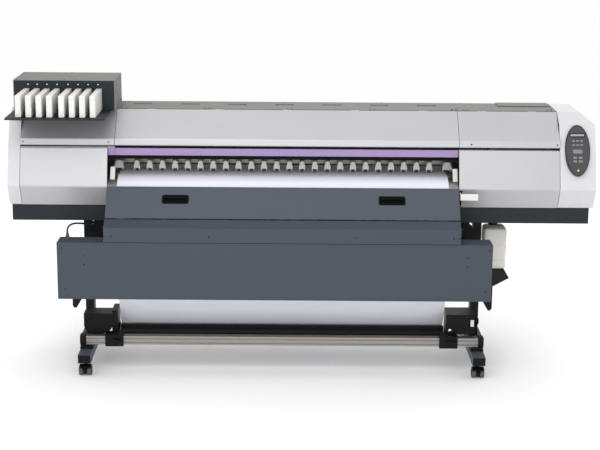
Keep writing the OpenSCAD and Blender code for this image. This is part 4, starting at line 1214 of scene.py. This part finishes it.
class BuildTakeup(bpy.types.Operator):
    """Adds the take-up's lock levers, switch bezel, button, knob grip, and rail plugs and sleeves"""

    bl_idname = "roll_printer.takeup"
    bl_label = "Take-up"

    def execute(self, context):
        self.levers()
        drive = box("takeup_drive_unit")
        bm = bmesh.new()
        hoop(bm, rounded(25, 47, 4), rounded(19, 41, 3), -1, 2,
             facing((832, DRIVE_FRONT, 243), FRONT))
        slab(bm, rounded(60, 26, 4), -1, 1.2, facing((766, DRIVE_FRONT, 262), FRONT))
        solid("drive_bezel", bm, "frame", "black_abs", bevel=0.5)
        bm = bmesh.new()
        turned(bm, [(8, -1), (8, 1.4), (6, 1.6), (5.6, 4.2), (4.2, 4.8)],
               facing((724.8, DRIVE_FRONT, 206.8), FRONT))
        solid("drive_button", bm, "frame", "nickel_plate")
        knob = Vector((drive.high.x - 11, -190, 243))
        grip = grown(ring_tree(), [knob], Count=detail_settings().knob_ribs, Radius=15 * MM,
                     Bar=(18 * MM, 1.8 * MM, 1.8 * MM), Material=finish("black_abs"))
        grip.name = "knob_grip"
        shown("knob_grip", grip, "frame", "black_abs")
        self.rail()
        return {"FINISHED"}

    def levers(self):
        for name, x, body in (("left_lock", -900, "takeup_holder_left"), ("right_lock", 716, "frame")):
            place = facing((x, -272.5, 158), FRONT)
            bm = bmesh.new()
            turned(bm, [(9, -1), (9, 5), (12, 7), (12, 15), (10, 17)], place)
            slab(bm, [(-9, -4), (26, -6), (38, -2), (38, 4), (26, 6), (-9, 5)], 8, 14, place)
            solid(name, bm, body, "black_abs", bevel=1.0)

    def rail(self):
        rail = box("takeup_rail")
        y, z = rail.mid.y, rail.high.z - 21.5
        bm = bmesh.new()
        for x, way in ((rail.low.x, LEFT), (rail.high.x, RIGHT)):
            slab(bm, rounded(38, 41, 4), -2, 2.5, facing((x, y, z), way))
            hoop(bm, rounded(46, 49, 4), rounded(40.4, 43.4, 1.5), -25, 1, facing((x, y, z), way))
        for side in ("left", "right"):
            foot = box(f"stand_foot_{side}")
            for grow, rise in ((2, 21.9), (7, 5)):
                slab(bm, rounded(60 + grow, 40 + grow, 4), foot.high.z, foot.high.z + rise,
                     Matrix.Translation((foot.mid.x, y, 0)))
        solid("rail_plugs", bm, "frame", "black_abs", bevel=0.8)
        core = box("takeup_core")
        bm = bmesh.new()
        for x in (core.low.x - 0.6, 698):
            hoop(bm, oval(40.3, 40.3, 40), oval(36.2, 36.2, 40), 0, 2.4,
                 facing((x, CORE_Y, CORE_Z), RIGHT))
        solid("core_ends", bm, "takeup_core", "core_board")


class BuildCasters(bpy.types.Operator):
    """Builds the four twin-wheel casters"""

    bl_idname = "roll_printer.casters"
    bl_label = "Casters"

    def execute(self, context):
        for corner in CORNERS:
            self.wheels(corner)
            self.housing(corner)
        return {"FINISHED"}

    def wheels(self, corner):
        pair = box(f"caster_wheels_{corner}")
        x, y, z, r = pair.mid.x, pair.mid.y, pair.mid.z, pair.mid.z - pair.low.z
        tyres, hubs = bmesh.new(), bmesh.new()
        for way in (LEFT, RIGHT):
            side = facing((x, y, z), way)
            turned(tyres, [(17, 10), (r - 3, 10), (r - 0.8, 11), (r, 13.5), (r, 26.5), (r - 0.8, 29),
                           (r - 3, 30), (17, 29)], side, steps=40)
            turned(hubs, [(17.5, 12), (18.4, 29.4), (16.5, 30.4), (14.5, 29), (8, 29), (6.5, 30.6), (4, 31)],
                   side, steps=40)
        turned(hubs, [(4, -30), (4, 30)], facing((x, y, z), RIGHT), steps=16)
        body = f"caster_wheels_{corner}"
        solid(f"tyres_{corner}", tyres, body, "rubber", stands_for=(body,))
        solid(f"hubs_{corner}", hubs, body, "charcoal_powder_coat")

    def housing(self, corner):
        node = f"caster_housing_{corner}"
        wheels, yoke = box(f"caster_wheels_{corner}"), box(node)
        x, y, z = wheels.mid.x, wheels.mid.y, wheels.mid.z
        toward = -1 if "front" in corner else 1
        pivot = y - toward * 15
        bm = bmesh.new()
        turned(bm, [(20.5, 0), (21, 1), (21, 18), (20.5, 19)], facing((x - 9.5, y, z), RIGHT), steps=32)
        turned(bm, [(10, 28), (10, 57), (17, 58), (20, 60), (20, 64.5), (6, 65), (6, yoke.high.z)],
               Matrix.Translation((x, pivot, 0)))
        angles = [math.radians(a) for a in range(30, 151, 10)]
        arch = [(y + 29 * math.cos(a), z + 29 * math.sin(a)) for a in angles]
        arch += [(y + 26.2 * math.cos(a), z + 26.2 * math.sin(a)) for a in reversed(angles)]
        slab(bm, arch, -28, 28, along_x(x))
        tab = [(y + toward * 24, 42), (y + toward * 25, 38), (y + toward * 38, 34), (y + toward * 39, 37)]
        slab(bm, tab, -11, 11, along_x(x))
        solid(f"yoke_{corner}", bm, node, "black_abs", bevel=0.8, stands_for=(node,))


class BuildStand(bpy.types.Operator):
    """Adds the stand's bolts, the plugs of its feet and the cable clip under the chassis"""

    bl_idname = "roll_printer.stand"
    bl_label = "Stand"

    def execute(self, context):
        places, plugs = [], bmesh.new()
        for side, inward in (("left", 1), ("right", -1)):
            foot = box(f"stand_foot_{side}")
            column = foot.mid.x - 14 * inward
            for dx in (-30, 30):
                for dy in (-68, 68):
                    places.append(((column + dx, COLUMN_Y + dy, 120), UP))
            for reach, height in ((30, 610), (52, 660)):
                places.append(((column + inward * (20 + reach), -10, height), FRONT))
            for y, way in ((foot.low.y, FRONT), (foot.high.y, BACK)):
                slab(plugs, rounded(58, 39, 5), -1, 3, facing((foot.mid.x, y, foot.high.z - 20.5), way))
                slab(plugs, rounded(44, 25, 4), 2, 4, facing((foot.mid.x, y, foot.high.z - 20.5), way))
        fasteners("stand_bolts", places, detail_settings().bolt_radius, "frame", "oxide_steel", seed=3)
        solid("foot_plugs", plugs, "frame", "black_abs", bevel=1.0)
        bm = bmesh.new()
        slab(bm, rounded(26, 20, 4), 0, 3, facing((-1000, -79, 725), (0, 0, -1)))
        solid("chassis_grommet", bm, "frame", "rubber", bevel=0.8)
        return {"FINISHED"}


# ---- Back, top and screws ----


class BuildBack(bpy.types.Operator):
    """Adds the louvres, the inlet's pins and the rear roll's flanges"""

    bl_idname = "roll_printer.back"
    bl_label = "Back"

    def execute(self, context):
        given = detail_settings()
        banks = [(x, REAR_Y + 0.5, 1002) for x in (-1130, -480, -90, 300, 985)]
        tall = given.louvre_count * given.louvre_pitch / MM
        mesh = grown(row_tree(), banks, Count=given.louvre_count, Step=(0.0, 0.0, given.louvre_pitch),
                     Bar=(190 * MM, 5 * MM, 2 * MM), Tilt=(math.radians(-35), 0.0, 0.0),
                     Material=finish("silver_powder_coat"))
        mesh.name = "rear_louvres"
        shown("rear_louvres", mesh, "frame", "silver_powder_coat")
        bm = bmesh.new()
        for x, _, z in banks:
            hoop(bm, rounded(206, tall + 16, 8), rounded(196, tall + 6, 5), -0.5, 2,
                 facing((x, REAR_Y, z + tall / 2 - 6), BACK))
        solid("louvre_frames", bm, "frame", "silver_powder_coat", bevel=0.5)
        bm = bmesh.new()
        for dx, dz in ((-7, -2), (0, 3), (7, -2)):
            slab(bm, rounded(2, 5, 0.6, 2), 3, 12, facing((1110 + dx, REAR_Y, 863 + dz), BACK))
        solid("inlet_pins", bm, "frame", "nickel_plate")
        self.roll()
        return {"FINISHED"}

    def roll(self):
        flanges, board, turns = bmesh.new(), bmesh.new(), bmesh.new()
        for x, way in ((-894, LEFT), (714, RIGHT)):
            place = facing((x, ROLL_Y, ROLL_Z), way)
            turned(flanges, [(36, -9), (40.5, -9), (44, -4), (92, -3), (94, -1), (94, 3), (92, 5),
                             (46, 6), (40, 14), (22, 16), (20, 22), (15, 23)], place, steps=48)
            hoop(board, oval(40.4, 40.4, 40), oval(36, 36, 40), -12, -8, place)
            for r in (71, 66, 61, 55, 48):
                hoop(turns, oval(r, r, 48), oval(r - 1.2, r - 1.2, 48), -15, -13.6, place)
        solid("roll_flanges", flanges, "media_roll", "black_abs", bevel=0.6)
        solid("roll_core_ends", board, "media_roll", "core_board")
        solid("roll_windings", turns, "media_roll", "printable_vinyl")


class BuildTop(bpy.types.Operator):
    """Adds the bars of the top vents, a dead black sheet of painted shade under them, and the hinge plates
    """

    bl_idname = "roll_printer.top"
    bl_label = "Top"

    def execute(self, context):
        given = detail_settings()
        bars = 12
        step = given.vent_pitch
        starts = [(x - (bars - 1) * step / MM / 2, VENT_Y, TOP_Z - 0.5) for x in VENT_CENTRES]
        mesh = grown(row_tree(), starts, Count=bars, Step=(step, 0.0, 0.0),
                     Bar=(2.2 * MM, 24 * MM, 1.0 * MM), Tilt=(0.0, 0.0, 0.0),
                     Material=finish("warm_grey_powder_coat"))
        mesh.name = "vent_bars"
        shown("vent_bars", mesh, "frame", "warm_grey_powder_coat")
        # Painted shade: a dead black sheet under each vent's bars for the dark inside it
        bm = bmesh.new()
        for x in VENT_CENTRES:
            slab(bm, rounded(93, 26, 12.9, 6), TOP_Z - 1.1, TOP_Z - 0.85,
                 Matrix.Translation((x, VENT_Y, 0)))
        solid("vent_shades", bm, "frame", "black_and_painted_shade")
        bm = bmesh.new()
        for x in HINGE_CENTRES:
            slab(bm, rounded(34, 22, 3), TOP_Z - 0.5, TOP_Z + 1.4, Matrix.Translation((x, -2, 0)))
        solid("hinge_plates", bm, "frame", "warm_grey_powder_coat", bevel=0.4)
        return {"FINISHED"}


class BuildScrews(bpy.types.Operator):
    """Puts a screw at every fixing of the covers, rack, dryer and caps"""

    bl_idname = "roll_printer.screws"
    bl_label = "Screws"

    def execute(self, context):
        radius = detail_settings().screw_radius
        case = box("dryer_case")
        marked = []
        for place in islands("cover_screws"):
            if place.z < 800:
                marked.append(((place.x, case.low.y, place.z), FRONT))
            else:
                marked.append((place - 1.25 * Vector(OUT_LIP), OUT_LIP))
        fasteners("front_screws", marked, radius, "frame", "oxide_steel", stands_for=("cover_screws",))
        fasteners("body_screws", self.body_places(), radius, "frame", "oxide_steel", seed=11)
        return {"FINISHED"}

    def body_places(self):
        rack, chassis = box("ink_rack_cover"), box("base_chassis")
        places = [((x, y, TOP_Z), UP) for x, y in (
            (756, 196), (728, 26), (751, 40), (1211, 26), (1224, 120), (-1334, 210), (-860, 210), (-84, 213),
            (400, 213), (790, 213))]
        places += [((x, -2, TOP_Z + 1.4), UP) for centre in HINGE_CENTRES
                   for x in (centre - 10, centre + 10)]
        places += [((x, y, rack.high.z), UP) for x in (rack.low.x + 14, rack.mid.x, rack.high.x - 14)
                   for y in (rack.low.y + 12, rack.high.y - 14)]
        places += [((rack.high.x + 14, y, TOP_Z + 2.2), UP) for y in (30, 95, 160)]
        places += [((rack.high.x, y, 1340), RIGHT) for y in (-70, 165)]
        places += [((rack.low.x, y, 1340), LEFT) for y in (-70, 165)]
        places += [((x, chassis.low.y, 764), FRONT) for x in (-1370, -1150, -925, 745, 960, 1175, 1355)]
        places += [((x, REAR_Y, z), BACK) for x in (-1325, -945, -700, -90, 520, 765, 1215)
                   for z in (981, 1167)]
        places += [((x, REAR_Y, 820), BACK) for x in (-1325, -945, 765, 1215)]
        places += [((-SIDE_X, y, z), LEFT) for y, z in ((270, 1180), (280, 840), (-140, 840), (-20, 1205))]
        places += [((SIDE_X, y, z), RIGHT) for y, z in ((270, 1175), (280, 840), (-140, 840), (-20, 1180))]
        places += [((x, DRIVE_FRONT, z), FRONT) for x in (716, 806) for z in (198, 276)]
        return places


# ---- Add-on ----

STEPS = (
    BuildStage, BuildCable, DressNodes, BuildWindowRails, BuildOpening, BuildPinchDetails,
    BuildCarriage, BuildHandles, BuildControls, BuildRack, BuildCartridges, BuildBottle,
    BuildDryer, BuildTakeup, BuildCasters, BuildStand, BuildBack, BuildTop, BuildScrews,
)
SETTINGS = {
    "roll_printer_stage": StageSettings,
    "roll_printer_finish": FinishSettings,
    "roll_printer_detail": DetailSettings,
}


class RollPrinterPanel(bpy.types.Panel):
    """Lists the steps and their settings"""

    bl_idname = "VIEW3D_PT_roll_printer"
    bl_label = "Roll Printer"
    bl_space_type = "VIEW_3D"
    bl_region_type = "UI"
    bl_category = "Roll Printer"

    def draw(self, context):
        for name, kind in SETTINGS.items():
            column = self.layout.box().column()
            for field in kind.__annotations__:
                column.prop(getattr(context.scene, name), field)
        column = self.layout.column(align=True)
        for step in STEPS:
            column.operator(step.bl_idname)


def register():
    for kind in (*SETTINGS.values(), *STEPS, RollPrinterPanel):
        bpy.utils.register_class(kind)
    for name, kind in SETTINGS.items():
        setattr(bpy.types.Scene, name, PointerProperty(type=kind))


def unregister():
    for name in SETTINGS:
        delattr(bpy.types.Scene, name)
    for kind in (RollPrinterPanel, *reversed(STEPS), *SETTINGS.values()):
        bpy.utils.unregister_class(kind)


def main():
    register()
    for step in STEPS:
        family, name = step.bl_idname.split(".")
        getattr(getattr(bpy.ops, family), name)()


if __name__ == "__main__":
    main()
